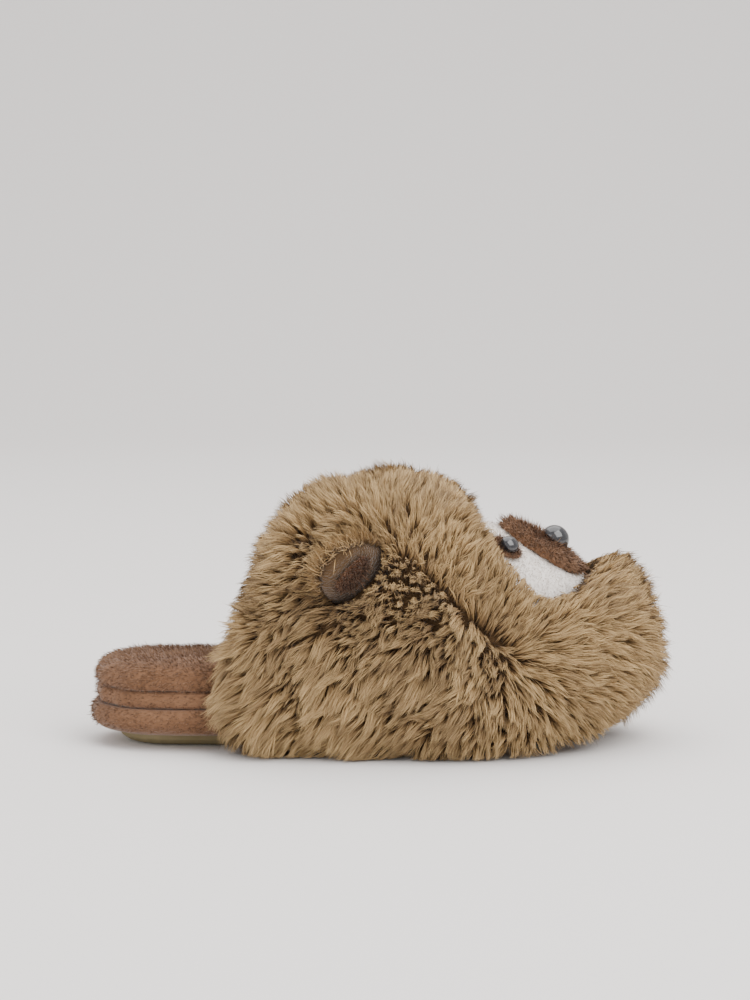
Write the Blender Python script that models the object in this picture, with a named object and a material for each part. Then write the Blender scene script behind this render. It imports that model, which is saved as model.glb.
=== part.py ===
"""Animal slipper for the right foot: a padded mule under a hollow fur head.

Metres, +Z up, toe towards +X, the wearer's left towards +Y. The origin lies on the
outsole's flat underside, halfway along the sole. The sole is a stack of four layers
with one outline. The upper is a hollow shell over the foot: it stands on the sole's
edge, is open at the collar and underneath, and carries its fur as locks that are
part of the same solid. The face, muzzle, eyes, nose and ears sit on the shell.
"""
import math
import random

import bmesh
import bpy
from mathutils import Vector
from mathutils.bvhtree import BVHTree

# Sole
SOLE_LENGTH = 0.262
BALL_WIDTH = 0.096
HEEL_ROUND = 0.038
TOE_ROUND = 0.050
OUTSOLE_HEIGHT = 0.0062
LOWER_HEIGHT = 0.0146
BAND_HEIGHT = 0.0086
FOOTBED_HEIGHT = 0.0145
OUTSOLE_INSET = 0.0135
OUTSOLE_BEVEL = 0.0085
LOWER_UNDERCUT = 0.013
BAND_INSET = 0.0022
FOOTBED_INSET = 0.0020
FOOTBED_ROUND = 0.019
TOE_SPRING = 0.0078
SPRING_START = 0.055
LAYER_GAP = 0.0003

# Upper
COLLAR_SETBACK = 0.043
CAVITY_HEIGHT = 0.061
ARCH_START = 0.0345
HEM_HEIGHT = 0.0048
LINING_HEM = 0.0068
WALL = 0.0060
STUFFING = 0.020
STUFFING_START = math.radians(12.0)
STUFFING_FULL = math.radians(70.0)
PILE = 0.0215
PILE_BODY = 0.62
LOCK_LEAN = 0.0095
LOCK_FLOOR = 0.0022
COLLAR_ROLL = 0.80
COLLAR_ROLL_TOP = 0.50
HEM_TAPER = 0.38
LOCK_SWAY = 0.0018
LOCK_SPREAD = (0.55, 1.15)

# Face and ears
FACE_AT = 0.099
FACE_HEIGHT = 0.0962
FACE_TILT = math.radians(33.0)
FACE_BACK = 0.040
FACE_FRONT = 0.024
FACE_HALF_WIDTH = 0.043
FACE_CROWN = 0.0135
PAD_EDGE = 0.004
MUZZLE_SHIFT = -0.0015
MUZZLE_HALF_LENGTH = 0.0235
MUZZLE_HALF_WIDTH = 0.0155
MUZZLE_HEIGHT = 0.0070
NOSE_SHIFT = 0.0015
NOSE_RADIUS = 0.0076
NOSE_HEIGHT = 0.0085
EYE_SHIFT = -0.0195
EYE_SPREAD = 0.0278
EYE_RADIUS = 0.0049
EYE_HEIGHT = 0.0042
PATCH_SHIFT = -0.0015
PATCH_HALF_LENGTH = 0.0095
PATCH_HALF_WIDTH = 0.0068
PATCH_HEIGHT = 0.0016
PATCH_GAP = 0.0009
EAR_AT = 0.009
EAR_HEIGHT = 0.088
EAR_SIDE = 0.038
EAR_HALF_WIDTH = 0.019
EAR_HALF_THICKNESS = 0.0065
EAR_LENGTH = 0.036
LINING_HALF_WIDTH = 0.0115
LINING_HALF_HEIGHT = 0.0078
LINING_THICKNESS = 0.0020
LINING_AT = 0.57
LINING_GAP = 0.0009
EAR_HOLLOW = 0.012
EAR_RIM = 0.14
EAR_SEAT_RIM = 0.17
CAST_HEIGHT = 0.08
SEAT_GAP = 0.0004
FACE_BULGE = 2.6
MUZZLE_BULGE = 2.4
MUZZLE_EDGE = 0.45
EYE_LEAN = 0.75
EYE_SINK = 0.006
EAR_RUN = (0.67, 0.0, 0.74)
EAR_OUT = (-0.42, 0.86, 0.30)

# Locks held back beside the face and ears: share of their size where the locks
# begin, and the further share over which they reach their full height.
FACE_BARE = 1.04
FACE_BARE_FADE = 0.14
EAR_BARE = 1.05
EAR_BARE_FADE = 0.45

# Counts of the mesh
OUTLINE_STEPS = 160
HEEL_STEPS = 10
FRONT_STEPS = 24
SIDE_ROWS = 4
ARCH_ROWS = 9
ROLL_TURNS = (math.radians(30.0), math.radians(60.0), math.radians(88.0))
ROLL_EASE = math.radians(45.0)
SHARP_EDGE = math.radians(35.0)
PROBE_SHARE = 0.004
PROBE_ROWS = 0.3
SEED = 11

# Half widths of the sole, and its axis, as shares of half the ball width.
# at: share of the sole's length from the heel.
OUTLINE = (
    dict(at=0.00, medial=0.75, lateral=0.75, axis=0.00),
    dict(at=0.16, medial=0.76, lateral=0.77, axis=0.00),
    dict(at=0.36, medial=0.72, lateral=0.83, axis=0.00),
    dict(at=0.54, medial=0.83, lateral=0.93, axis=0.00),
    dict(at=0.70, medial=1.00, lateral=1.00, axis=0.00),
    dict(at=0.84, medial=0.98, lateral=0.92, axis=0.03),
    dict(at=1.00, medial=0.86, lateral=0.74, axis=0.09),
)

# Sides of the layers, from the bottom up. rise: share of the layer's height.
# inset: share of the inset named beside each table, from the sole's outline.
OUTSOLE_SIDE = (
    dict(rise=0.00, inset=1.00),
    dict(rise=0.22, inset=0.48),
    dict(rise=0.60, inset=0.12),
    dict(rise=1.00, inset=0.00),
)
LOWER_SIDE = (
    dict(rise=0.00, inset=1.00),
    dict(rise=0.06, inset=0.62),
    dict(rise=0.22, inset=0.26),
    dict(rise=0.45, inset=0.06),
    dict(rise=0.70, inset=0.00),
    dict(rise=0.90, inset=0.06),
    dict(rise=1.00, inset=0.22),
)
BAND_SIDE = (
    dict(rise=0.00, inset=2.10),
    dict(rise=0.15, inset=1.35),
    dict(rise=0.50, inset=1.00),
    dict(rise=0.85, inset=1.35),
    dict(rise=1.00, inset=2.10),
)
FOOTBED_SIDE = (
    dict(rise=0.00, inset=0.14),
    dict(rise=0.10, inset=0.04),
    dict(rise=0.25, inset=0.00),
    dict(rise=0.50, inset=0.05),
    dict(rise=0.74, inset=0.22),
    dict(rise=0.90, inset=0.50),
    dict(rise=1.00, inset=1.00),
)

# Rows of the lining beside the sole, above its hem. layer: 1 for the lower midsole
# and 2 for the middle band. rise: share of that layer. inset: share of BAND_INSET.
LINING_SIDE = (
    dict(layer=1, rise=0.88, inset=0.00),
    dict(layer=2, rise=0.29, inset=1.00),
    dict(layer=2, rise=0.87, inset=1.00),
)

# Spine of the upper. at: share of its edge from the collar to the toe tip.
# spine: place along the sole from the heel, as a share of its length.
# height: share of CAVITY_HEIGHT above the footbed. stuffing: share of STUFFING.
# full: exponent of the arch, 2 being an ellipse. lean: below 1 the arch also
# leans forward as it climbs, which cuts the collar back. pile: share of PILE.
VAMP = (
    dict(at=0.00, spine=0.480, height=1.00, stuffing=0.12, full=2.3, pile=1.00, lean=0.55),
    dict(at=0.12, spine=0.524, height=0.94, stuffing=0.50, full=2.3, pile=1.00, lean=0.72),
    dict(at=0.25, spine=0.578, height=0.86, stuffing=0.85, full=2.3, pile=1.00, lean=0.90),
    dict(at=0.42, spine=0.655, height=0.68, stuffing=1.00, full=2.3, pile=1.00, lean=1.00),
    dict(at=0.60, spine=0.742, height=0.54, stuffing=0.80, full=2.3, pile=1.00, lean=1.00),
    dict(at=0.74, spine=0.805, height=0.47, stuffing=0.35, full=2.2, pile=1.00, lean=1.00),
    dict(at=0.86, spine=0.850, height=0.43, stuffing=0.28, full=2.2, pile=1.12, lean=1.00),
    dict(at=1.00, spine=0.874, height=0.39, stuffing=0.50, full=2.2, pile=1.32, lean=1.00),
)

# Parting from which the fur runs, on each side: x, distance from the axis, height.
PARTING_REAR = (0.029, 0.055, 0.100)
PARTING_FRONT = (0.080, 0.070, 0.056)

MATERIALS = {
    "outsole": ((0.21, 0.16, 0.075), 0.75),
    "plush": ((0.15, 0.075, 0.035), 0.95),
    "fur": ((0.50, 0.34, 0.16), 0.90),
    "face": ((0.78, 0.74, 0.70), 0.95),
    "lining": ((0.09, 0.045, 0.025), 0.95),
    "gloss": ((0.012, 0.012, 0.014), 0.10),
}


def clear_scene():
    """Remove every object that the file starts with."""
    for obj in list(bpy.data.objects):
        bpy.data.objects.remove(obj, do_unlink=True)


def read(table, column, at):
    """Value of a table's column at a share, on a smooth curve through its rows."""
    places = [row["at"] for row in table]
    values = [row[column] for row in table]
    last = len(places) - 1
    slopes = [(values[i + 1] - values[i]) / (places[i + 1] - places[i]) for i in range(last)]
    tangents = [slopes[0]]
    for before, after in zip(slopes, slopes[1:]):
        flat = before * after <= 0.0
        tangents.append(0.0 if flat else 2.0 * before * after / (before + after))
    tangents.append(slopes[-1])
    at = min(max(at, places[0]), places[-1])
    i = min(max(j for j in range(last + 1) if places[j] <= at), last - 1)
    span = places[i + 1] - places[i]
    t = (at - places[i]) / span
    start = (1.0 + 2.0 * t) * (1.0 - t) ** 2 * values[i] + t * (1.0 - t) ** 2 * span * tangents[i]
    end = t * t * (3.0 - 2.0 * t) * values[i + 1] + t * t * (t - 1.0) * span * tangents[i + 1]
    return start + end


def ease(value):
    """Smooth step from 0 to 1."""
    value = min(max(value, 0.0), 1.0)
    return value * value * (3.0 - 2.0 * value)


def lift(x):
    """Toe spring at a place along the sole."""
    run = (x - SPRING_START) / (SOLE_LENGTH / 2.0 - SPRING_START)
    return TOE_SPRING * max(run, 0.0) ** 2


def axis_y(x):
    """Sideways place of the sole's axis."""
    return read(OUTLINE, "axis", x / SOLE_LENGTH + 0.5) * BALL_WIDTH / 2.0


def end_round(distance, radius):
    """Share of the full width at a distance from a rounded end."""
    if distance >= radius:
        return 1.0
    return math.sqrt(max(0.0, 1.0 - (1.0 - distance / radius) ** 2))


class Edge:
    """One side of the sole's outline, from heel tip to toe tip, read by arc length."""

    def __init__(self, side):
        self.side = side
        column = "medial" if side > 0 else "lateral"
        self.points = []
        for step in range(OUTLINE_STEPS + 1):
            share = (1.0 - math.cos(math.pi * step / OUTLINE_STEPS)) / 2.0
            width = read(OUTLINE, column, share) * BALL_WIDTH / 2.0
            width *= end_round(share * SOLE_LENGTH, HEEL_ROUND)
            width *= end_round((1.0 - share) * SOLE_LENGTH, TOE_ROUND)
            x = (share - 0.5) * SOLE_LENGTH
            self.points.append(Vector((x, axis_y(x) + side * width)))
        self.reach = [0.0]
        for before, after in zip(self.points, self.points[1:]):
            self.reach.append(self.reach[-1] + (after - before).length)
        self.collar = self.share_at(-COLLAR_SETBACK)

    def share_at(self, x):
        """Share of the edge's length at a place along the sole."""
        for step in range(OUTLINE_STEPS):
            before = self.points[step]
            after = self.points[step + 1]
            if after.x >= x:
                part = (x - before.x) / (after.x - before.x)
                length = self.reach[step] + part * (self.reach[step + 1] - self.reach[step])
                return length / self.reach[-1]
        return 1.0

    def point(self, share):
        """Point of the outline at a share of the edge's length, and its outward normal."""
        if share <= 0.0:
            return self.points[0].copy(), Vector((-1.0, 0.0))
        if share >= 1.0:
            return self.points[-1].copy(), Vector((1.0, 0.0))
        length = share * self.reach[-1]
        step = max(i for i in range(OUTLINE_STEPS) if self.reach[i] <= length)
        part = (length - self.reach[step]) / (self.reach[step + 1] - self.reach[step])
        place = self.points[step].lerp(self.points[step + 1], part)
        low = self.points[max(step - 1, 0)]
        high = self.points[min(step + 2, OUTLINE_STEPS)]
        along = (high - low).normalized()
        return place, Vector((-along.y, along.x)) * self.side

    def front(self, share):
        """Point and normal at a share of the stretch from the collar to the toe tip."""
        return self.point(self.collar + (1.0 - self.collar) * share)


EDGES = {-1: Edge(-1), 1: Edge(1)}


def sole_ring():
    """Points and normals round the sole: heel, lateral side, toe, medial side."""
    ring = []
    for side in (-1, 1):
        edge = EDGES[side]
        shares = [edge.collar * i / HEEL_STEPS for i in range(HEEL_STEPS)]
        shares += [edge.collar + (1.0 - edge.collar) * i / FRONT_STEPS for i in range(FRONT_STEPS)]
        if side > 0:
            shares = [1.0] + shares[:0:-1]
        ring += [edge.point(share) for share in shares]
    return ring


def material(name):
    """The Principled material of one finish."""
    if name in bpy.data.materials:
        return bpy.data.materials[name]
    color, roughness = MATERIALS[name]
    mat = bpy.data.materials.new(name)
    mat.use_nodes = True
    shader = mat.node_tree.nodes["Principled BSDF"]
    shader.inputs["Base Color"].default_value = (*color, 1.0)
    shader.inputs["Roughness"].default_value = roughness
    shader.inputs["Metallic"].default_value = 0.0
    return mat


def make_object(name, points, faces, finish):
    """A named object from points and faces, its normals pointing out."""
    mesh = bpy.data.meshes.new(name)
    mesh.from_pydata([tuple(p) for p in points], [], faces)
    work = bmesh.new()
    work.from_mesh(mesh)
    bmesh.ops.triangulate(work, faces=work.faces[:])
    bmesh.ops.recalc_face_normals(work, faces=work.faces[:])
    work.to_mesh(mesh)
    work.free()
    mesh.shade_smooth()
    mesh.set_sharp_from_angle(angle=SHARP_EDGE)
    obj = bpy.data.objects.new(name, mesh)
    obj.data.materials.append(material(finish))
    bpy.context.scene.collection.objects.link(obj)
    return obj


def layer(name, bottom, height, side, insets, finish):
    """One layer of the sole: rings up its side, closed flat across at both ends."""
    ring = sole_ring()
    count = len(ring)
    base, scale = insets
    points = []
    for row in side:
        inset = base + scale * row["inset"]
        z = bottom + height * row["rise"]
        for place, normal in ring:
            spot = place - normal * inset
            points.append(Vector((spot.x, spot.y, z + lift(spot.x))))
    faces = []
    for level in range(len(side) - 1):
        low = level * count
        for i in range(count):
            j = (i + 1) % count
            faces.append((low + i, low + j, low + count + j, low + count + i))
    for low in (0, (len(side) - 1) * count):
        half = count // 2
        for i in range(half):
            left = (count - i) % count
            corners = (low + i, low + i + 1, low + count - i - 1, low + left)
            faces.append(tuple(dict.fromkeys(corners)))
    return make_object(name, points, faces, finish)


def layer_heights():
    """Bottom height of each layer, from the outsole up, and the footbed's top."""
    heights = [0.0]
    for height in (OUTSOLE_HEIGHT, LOWER_HEIGHT, BAND_HEIGHT):
        heights.append(heights[-1] + height + LAYER_GAP)
    heights.append(heights[-1] + FOOTBED_HEIGHT)
    return heights


def build_sole():
    """Outsole, lower midsole, middle band and footbed."""
    z = layer_heights()
    layer("outsole", z[0], OUTSOLE_HEIGHT, OUTSOLE_SIDE, (OUTSOLE_INSET, OUTSOLE_BEVEL), "outsole")
    layer("lower_midsole", z[1], LOWER_HEIGHT, LOWER_SIDE, (0.0, LOWER_UNDERCUT), "plush")
    layer("middle_band", z[2], BAND_HEIGHT, BAND_SIDE, (0.0, BAND_INSET), "plush")
    rounding = FOOTBED_ROUND - FOOTBED_INSET
    layer("footbed", z[3], FOOTBED_HEIGHT, FOOTBED_SIDE, (FOOTBED_INSET, rounding), "plush")


def vamp_place(share, side, rise, turn):
    """Point of the shell's inner form.

    share runs along the edge from the collar to the toe tip. rise is the share of
    the upright side that is climbed, and turn the angle round the arch above it.
    """
    if share > 1.0:
        share, side = 2.0 - share, -side
    place, normal = EDGES[side].front(share)
    foot = place - normal * (FOOTBED_INSET - LAYER_GAP)
    start = ARCH_START + lift(foot.x)
    hem = HEM_HEIGHT + lift(foot.x)
    if rise < 1.0:
        return Vector((foot.x, foot.y, hem + (start - hem) * rise))
    spine_x = (read(VAMP, "spine", share) - 0.5) * SOLE_LENGTH
    top = layer_heights()[-1] + lift(spine_x) + read(VAMP, "height", share) * CAVITY_HEIGHT
    power = 2.0 / read(VAMP, "full", share)
    inward = 1.0 - max(math.cos(turn), 0.0) ** power
    upward = math.sin(turn) ** power
    spine = Vector((spine_x, axis_y(spine_x)))
    forward = inward ** read(VAMP, "lean", share)
    x = foot.x + (spine.x - foot.x) * forward
    y = foot.y + (spine.y - foot.y) * inward
    return Vector((x, y, start + (top - start) * upward))


def row_place(row):
    """Rise and turn of one of the upper's rows, from the hem to the spine."""
    if row < SIDE_ROWS:
        return row / SIDE_ROWS, 0.0
    return 1.0, math.pi / 2.0 * (row - SIDE_ROWS) / ARCH_ROWS


def vamp_frame(share, side, row):
    """Point of the inner form with its outward normal and its rearward tangent."""
    rise, turn = row_place(row)
    here = vamp_place(share, side, rise, turn)
    behind = vamp_place(max(share - PROBE_SHARE, 0.0), side, rise, turn)
    ahead = vamp_place(share + PROBE_SHARE, side, rise, turn)
    along = ahead - behind
    low_rise, low_turn = row_place(max(row - PROBE_ROWS, 0.0))
    high_rise, high_turn = row_place(min(row + PROBE_ROWS, SIDE_ROWS + ARCH_ROWS))
    low = vamp_place(share, side, low_rise, low_turn)
    up = vamp_place(share, side, high_rise, high_turn) - low
    normal = along.cross(up).normalized() * -side
    if row == SIDE_ROWS + ARCH_ROWS:
        normal.y = 0.0
        normal.normalize()
    back = -(along - normal * along.dot(normal)).normalized()
    return here, normal, back


def fabric_depth(share, turn):
    """Thickness of the fabric and its stuffing over the inner form."""
    climb = (turn - STUFFING_START) / (STUFFING_FULL - STUFFING_START)
    return WALL + STUFFING * read(VAMP, "stuffing", share) * ease(climb)


def skin_point(share, side, row, depth, roll=0.0):
    """Point of a skin that lies at a depth over the fabric, rolled back at the collar."""
    here, normal, back = vamp_frame(share, side, row)
    rise, turn = row_place(row)
    taper = HEM_TAPER + (1.0 - HEM_TAPER) * math.sin(math.pi / 2.0 * rise)
    reach = (fabric_depth(share, turn) + depth * read(VAMP, "pile", share)) * taper
    outward = max(reach * math.cos(roll), FOOTBED_INSET + 2.0 * LAYER_GAP)
    behind = COLLAR_ROLL + (COLLAR_ROLL_TOP - COLLAR_ROLL) * ease(turn / ROLL_EASE)
    return here + normal * outward + back * reach * math.sin(roll) * behind


def columns():
    """Columns of the upper from the lateral collar round the toe to the medial collar."""
    lateral = [(i / FRONT_STEPS, -1, 0.0) for i in range(FRONT_STEPS + 1)]
    medial = [(i / FRONT_STEPS, 1, 0.0) for i in range(FRONT_STEPS - 1, -1, -1)]
    rolled = [(0.0, -1, turn) for turn in reversed(ROLL_TURNS)]
    return rolled + lateral + medial + [(0.0, 1, turn) for turn in ROLL_TURNS]


def face_frame():
    """Origin of the face on its top, its run to the toe, its width and its normal."""
    along = Vector((math.cos(FACE_TILT), 0.0, -math.sin(FACE_TILT)))
    out = Vector((math.sin(FACE_TILT), 0.0, math.cos(FACE_TILT)))
    return Vector((FACE_AT, axis_y(FACE_AT), FACE_HEIGHT)), along, Vector((0.0, 1.0, 0.0)), out


def ear_frame(side):
    """Root of an ear, the run of its root, its front and the way it stands out."""
    run = Vector(EAR_RUN).normalized()
    out = Vector((EAR_OUT[0], EAR_OUT[1] * side, EAR_OUT[2]))
    out = (out - run * out.dot(run)).normalized()
    front = run.cross(out) * side
    if front.x < 0.0:
        front = -front
    return Vector((EAR_AT, EAR_SIDE * side, EAR_HEIGHT)), run, front, out


def bare_share(spot):
    """How far the locks are held back beside the face and the ears: 0 is bare."""
    origin, along, across, out = face_frame()
    offset = spot - origin
    run = offset.dot(along)
    length = FACE_BACK if run < 0.0 else FACE_FRONT
    reach = math.hypot(run / length, offset.dot(across) / FACE_HALF_WIDTH)
    share = 1.0
    if offset.dot(out) > -FACE_HALF_WIDTH:
        share = ease((reach - FACE_BARE) / FACE_BARE_FADE)
    for side in (-1, 1):
        origin, along, across, out = ear_frame(side)
        offset = spot - origin
        thickness = 2.0 * EAR_HALF_THICKNESS
        reach = math.hypot(offset.dot(along) / EAR_HALF_WIDTH, offset.dot(across) / thickness)
        if offset.dot(out) > 0.0:
            share = min(share, ease((reach - EAR_BARE) / EAR_BARE_FADE))
    return share


def fur_run(spot):
    """Direction in which the fur lies at a place: away from the parting."""
    side = -1.0 if spot.y < 0.0 else 1.0
    rear = Vector((PARTING_REAR[0], PARTING_REAR[1] * side, PARTING_REAR[2]))
    front = Vector((PARTING_FRONT[0], PARTING_FRONT[1] * side, PARTING_FRONT[2]))
    line = front - rear
    share = min(max((spot - rear).dot(line) / line.length_squared, 0.0), 1.0)
    return (spot - rear.lerp(front, share)).normalized()


def build_upper():
    """The hollow shell: fur outside with its locks, lining form inside, both rims."""
    draw = random.Random(SEED)
    rows = SIDE_ROWS + ARCH_ROWS
    lock_height = PILE * (1.0 - PILE_BODY)
    cols = columns()
    points = []
    outer = []
    for share, side, roll in cols:
        line = []
        for row in range(rows + 1):
            line.append(len(points))
            points.append(skin_point(share, side, row, PILE * PILE_BODY, roll))
        outer.append(line)
    for i in range(len(cols)):
        outer[i][rows] = min(outer[i][rows], outer[len(cols) - 1 - i][rows])
    faces = []
    for i in range(len(cols) - 1):
        for row in range(rows):
            corners = (outer[i][row], outer[i + 1][row], outer[i + 1][row + 1], outer[i][row + 1])
            corners = tuple(dict.fromkeys(corners))
            middle = sum((points[c] for c in corners), Vector()) / len(corners)
            a, b, c = (points[corner] for corner in corners[:3])
            normal = (b - a).cross(c - a).normalized()
            run = fur_run(middle)
            run = run - normal * run.dot(normal)
            share = bare_share(middle) * draw.uniform(*LOCK_SPREAD)
            sway = normal.cross(run) * draw.uniform(-LOCK_SWAY, LOCK_SWAY) * share
            tip = middle + normal * lock_height * share + run * LOCK_LEAN * share + sway
            if tip.z < LOCK_FLOOR:
                tip.z = LOCK_FLOOR
            points.append(tip)
            for first, second in zip(corners, corners[1:] + corners[:1]):
                faces.append((first, second, len(points) - 1))
    inner = build_lining(points, faces, rows)
    first = len(ROLL_TURNS)
    last = len(cols) - 1 - first
    for i in range(first, last):
        faces.append((outer[i][0], inner[i - first][0], inner[i + 1 - first][0], outer[i + 1][0]))
    for row in range(rows):
        for line, edge in ((outer[0], inner[0]), (outer[-1], inner[-1])):
            faces.append((line[row], line[row + 1], edge[row + 1], edge[row]))
    for i in range(first):
        faces.append((outer[i][0], outer[i + 1][0], inner[0][0]))
        faces.append((outer[-1 - i][0], outer[-2 - i][0], inner[-1][0]))
    faces = [tuple(dict.fromkeys(face)) for face in faces]
    used = sorted({corner for face in faces for corner in face})
    renumber = {corner: i for i, corner in enumerate(used)}
    faces = [tuple(renumber[corner] for corner in face) for face in faces]
    return make_object("upper", [points[corner] for corner in used], faces, "fur")


def build_lining(points, faces, rows):
    """Inner face of the shell: it follows the sole's side, then arches over the foot."""
    z = layer_heights()
    side_rows = [(LINING_HEM, -LAYER_GAP)]
    for row in LINING_SIDE:
        height = z[row["layer"]] + row["rise"] * (z[row["layer"] + 1] - z[row["layer"]])
        side_rows.append((height, row["inset"] * BAND_INSET - LAYER_GAP))
    inner = []
    shares = [(i / FRONT_STEPS, -1) for i in range(FRONT_STEPS + 1)]
    shares += [(i / FRONT_STEPS, 1) for i in range(FRONT_STEPS - 1, -1, -1)]
    for share, side in shares:
        place, normal = EDGES[side].front(share)
        line = []
        for height, inset in side_rows:
            spot = place - normal * inset
            line.append(len(points))
            points.append(Vector((spot.x, spot.y, height + lift(spot.x))))
        for row in range(SIDE_ROWS, rows + 1):
            line.append(len(points))
            points.append(vamp_place(share, side, *row_place(row)))
        inner.append(line)
    for i in range(len(inner)):
        inner[i][rows] = min(inner[i][rows], inner[-1 - i][rows])
    for i in range(len(inner) - 1):
        for row in range(rows):
            faces.append((inner[i][row], inner[i + 1][row], inner[i + 1][row + 1], inner[i][row + 1]))
    return inner


def fabric_tree():
    """The fabric under the fur, as a surface that rays can be cast on."""
    rows = SIDE_ROWS + ARCH_ROWS
    points = []
    faces = []
    sides = [(i / FRONT_STEPS, -1) for i in range(FRONT_STEPS + 1)]
    sides += [(i / FRONT_STEPS, 1) for i in range(FRONT_STEPS - 1, -1, -1)]
    for share, side in sides:
        points += [skin_point(share, side, row, 0.0) for row in range(rows + 1)]
    for i in range(len(sides) - 1):
        for row in range(rows):
            a = i * (rows + 1) + row
            b = a + rows + 1
            faces.append((a, b, b + 1, a + 1))
    return BVHTree.FromPolygons(points, faces)


def object_tree(obj):
    """One object's surface, as it is modelled, for casting rays on."""
    points = [v.co.copy() for v in obj.data.vertices]
    faces = [tuple(p.vertices) for p in obj.data.polygons]
    return BVHTree.FromPolygons(points, faces)


def pillow(name, frame, radii, top, tree, finish, clearance=SEAT_GAP, sides=24, rings=5, level=False):
    """A padded piece on a surface: its underside follows what carries it.

    radii are the half sizes backward, forward and across. top takes the place along
    and across, the share of the radius and the underside's height, and returns the
    height of the upper face. A level underside is flat, at the carrier's highest point.
    """
    origin, along, across, out = frame
    back, front, width = radii
    spots = []
    for ring in range(rings + 1):
        share = math.sin(math.pi / 2.0 * ring / rings)
        for k in range(sides if ring else 1):
            angle = 2.0 * math.pi * k / sides
            run = math.cos(angle) * share * (front if math.cos(angle) > 0.0 else back)
            sway = math.sin(angle) * share * width
            flat = origin + along * run + across * sway
            hit = tree.ray_cast(flat + out * CAST_HEIGHT, -out)[0]
            low = (hit - origin).dot(out) if hit else -CAST_HEIGHT
            spots.append((flat, run, sway, share, low))
    highest = max(spot[4] for spot in spots)
    upper = []
    lower = []
    for flat, run, sway, share, low in spots:
        base = (highest if level else low) + clearance
        lower.append(flat + out * base)
        upper.append(flat + out * top(run, sway, share, base))
    count = len(upper)
    faces = []
    for k in range(sides):
        j = (k + 1) % sides
        for base in (0, count):
            faces.append((base, base + 1 + k, base + 1 + j))
            for ring in range(rings - 1):
                low = base + 1 + ring * sides
                faces.append((low + k, low + sides + k, low + sides + j, low + j))
        rim = 1 + (rings - 1) * sides
        faces.append((rim + k, rim + j, count + rim + j, count + rim + k))
    return make_object(name, upper + lower, faces, finish)


def bulge(share, power=2.0, least=0.0):
    """Height share of a dome at a share of its radius, no lower than least."""
    return math.sqrt(max(least ** 2, 1.0 - share ** power))


def add_cutter(target, cutter):
    """Cut one object by another, which stays as a hidden guide."""
    cutter.hide_render = True
    cutter.display_type = "WIRE"
    cut = target.modifiers.new(cutter.name, "BOOLEAN")
    cut.operation = "DIFFERENCE"
    cut.object = cutter
    cut.solver = "EXACT"


def face_top(run, sway, share, low):
    """Height of the white face: flat along, crowned across, sewn down at its rim."""
    level = -FACE_CROWN * (sway / FACE_HALF_WIDTH) ** 2
    return low + PAD_EDGE + (level - low - PAD_EDGE) * bulge(share, FACE_BULGE)


def build_face(upper, fabric):
    """White face in its seat, with muzzle, nose, eye patches and eyes on it."""
    frame = face_frame()
    origin, along, across, out = frame
    radii = (FACE_BACK, FACE_FRONT, FACE_HALF_WIDTH)
    face = pillow("face_panel", frame, radii, face_top, fabric, "face", sides=32)
    grown = tuple(size + SEAT_GAP for size in radii)

    def cutter_top(run, sway, share, low):
        """Height of the cutter, above all the fur."""
        return FACE_HALF_WIDTH

    seat = pillow("face_seat", frame, grown, cutter_top, fabric, "face", 0.0, 32)
    add_cutter(upper, seat)
    surface = object_tree(face)

    def muzzle_top(run, sway, share, low):
        """Height of the muzzle, level over its whole run."""
        edge = MUZZLE_EDGE * MUZZLE_HEIGHT
        return low + edge + (MUZZLE_HEIGHT - low - edge) * bulge(share, MUZZLE_BULGE)

    muzzle_frame = (origin + along * MUZZLE_SHIFT, along, across, out)
    muzzle_radii = (MUZZLE_HALF_LENGTH, MUZZLE_HALF_LENGTH, MUZZLE_HALF_WIDTH)
    muzzle = pillow("muzzle", muzzle_frame, muzzle_radii, muzzle_top, surface, "plush")

    def dome(height):
        """Top of a glossy dome of a given height."""
        return lambda run, sway, share, low: low + height * bulge(share, least=0.2)

    nose_frame = (origin + along * NOSE_SHIFT, along, across, out)
    nose_radii = (NOSE_RADIUS, NOSE_RADIUS, NOSE_RADIUS)
    carrier = object_tree(muzzle)
    count = dict(sides=16, rings=4, level=True)
    pillow("nose", nose_frame, nose_radii, dome(NOSE_HEIGHT), carrier, "gloss", **count)
    for side, word in ((-1, "right"), (1, "left")):
        spot = origin + along * EYE_SHIFT + across * (EYE_SPREAD * side)
        lean = (out + across * (EYE_LEAN * side)).normalized()
        run = (along - lean * along.dot(lean)).normalized()
        eye_frame = (spot - out * EYE_SINK, run, lean.cross(run), lean)

        def patch_top(run, sway, share, low):
            """Height of the thin plush patch round the eye."""
            return low + PATCH_HEIGHT * (0.5 + 0.5 * bulge(share))

        back = PATCH_HALF_LENGTH - PATCH_SHIFT
        front = PATCH_HALF_LENGTH + PATCH_SHIFT
        name = "eye_patch_" + word
        count = dict(clearance=PATCH_GAP, sides=20, rings=4)
        radii = (back, front, PATCH_HALF_WIDTH)
        patch = pillow(name, eye_frame, radii, patch_top, surface, "plush", **count)
        carrier = object_tree(patch)
        radii = (EYE_RADIUS, EYE_RADIUS, EYE_RADIUS)
        count = dict(sides=14, rings=4, level=True)
        pillow("eye_" + word, eye_frame, radii, dome(EYE_HEIGHT), carrier, "gloss", **count)


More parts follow.
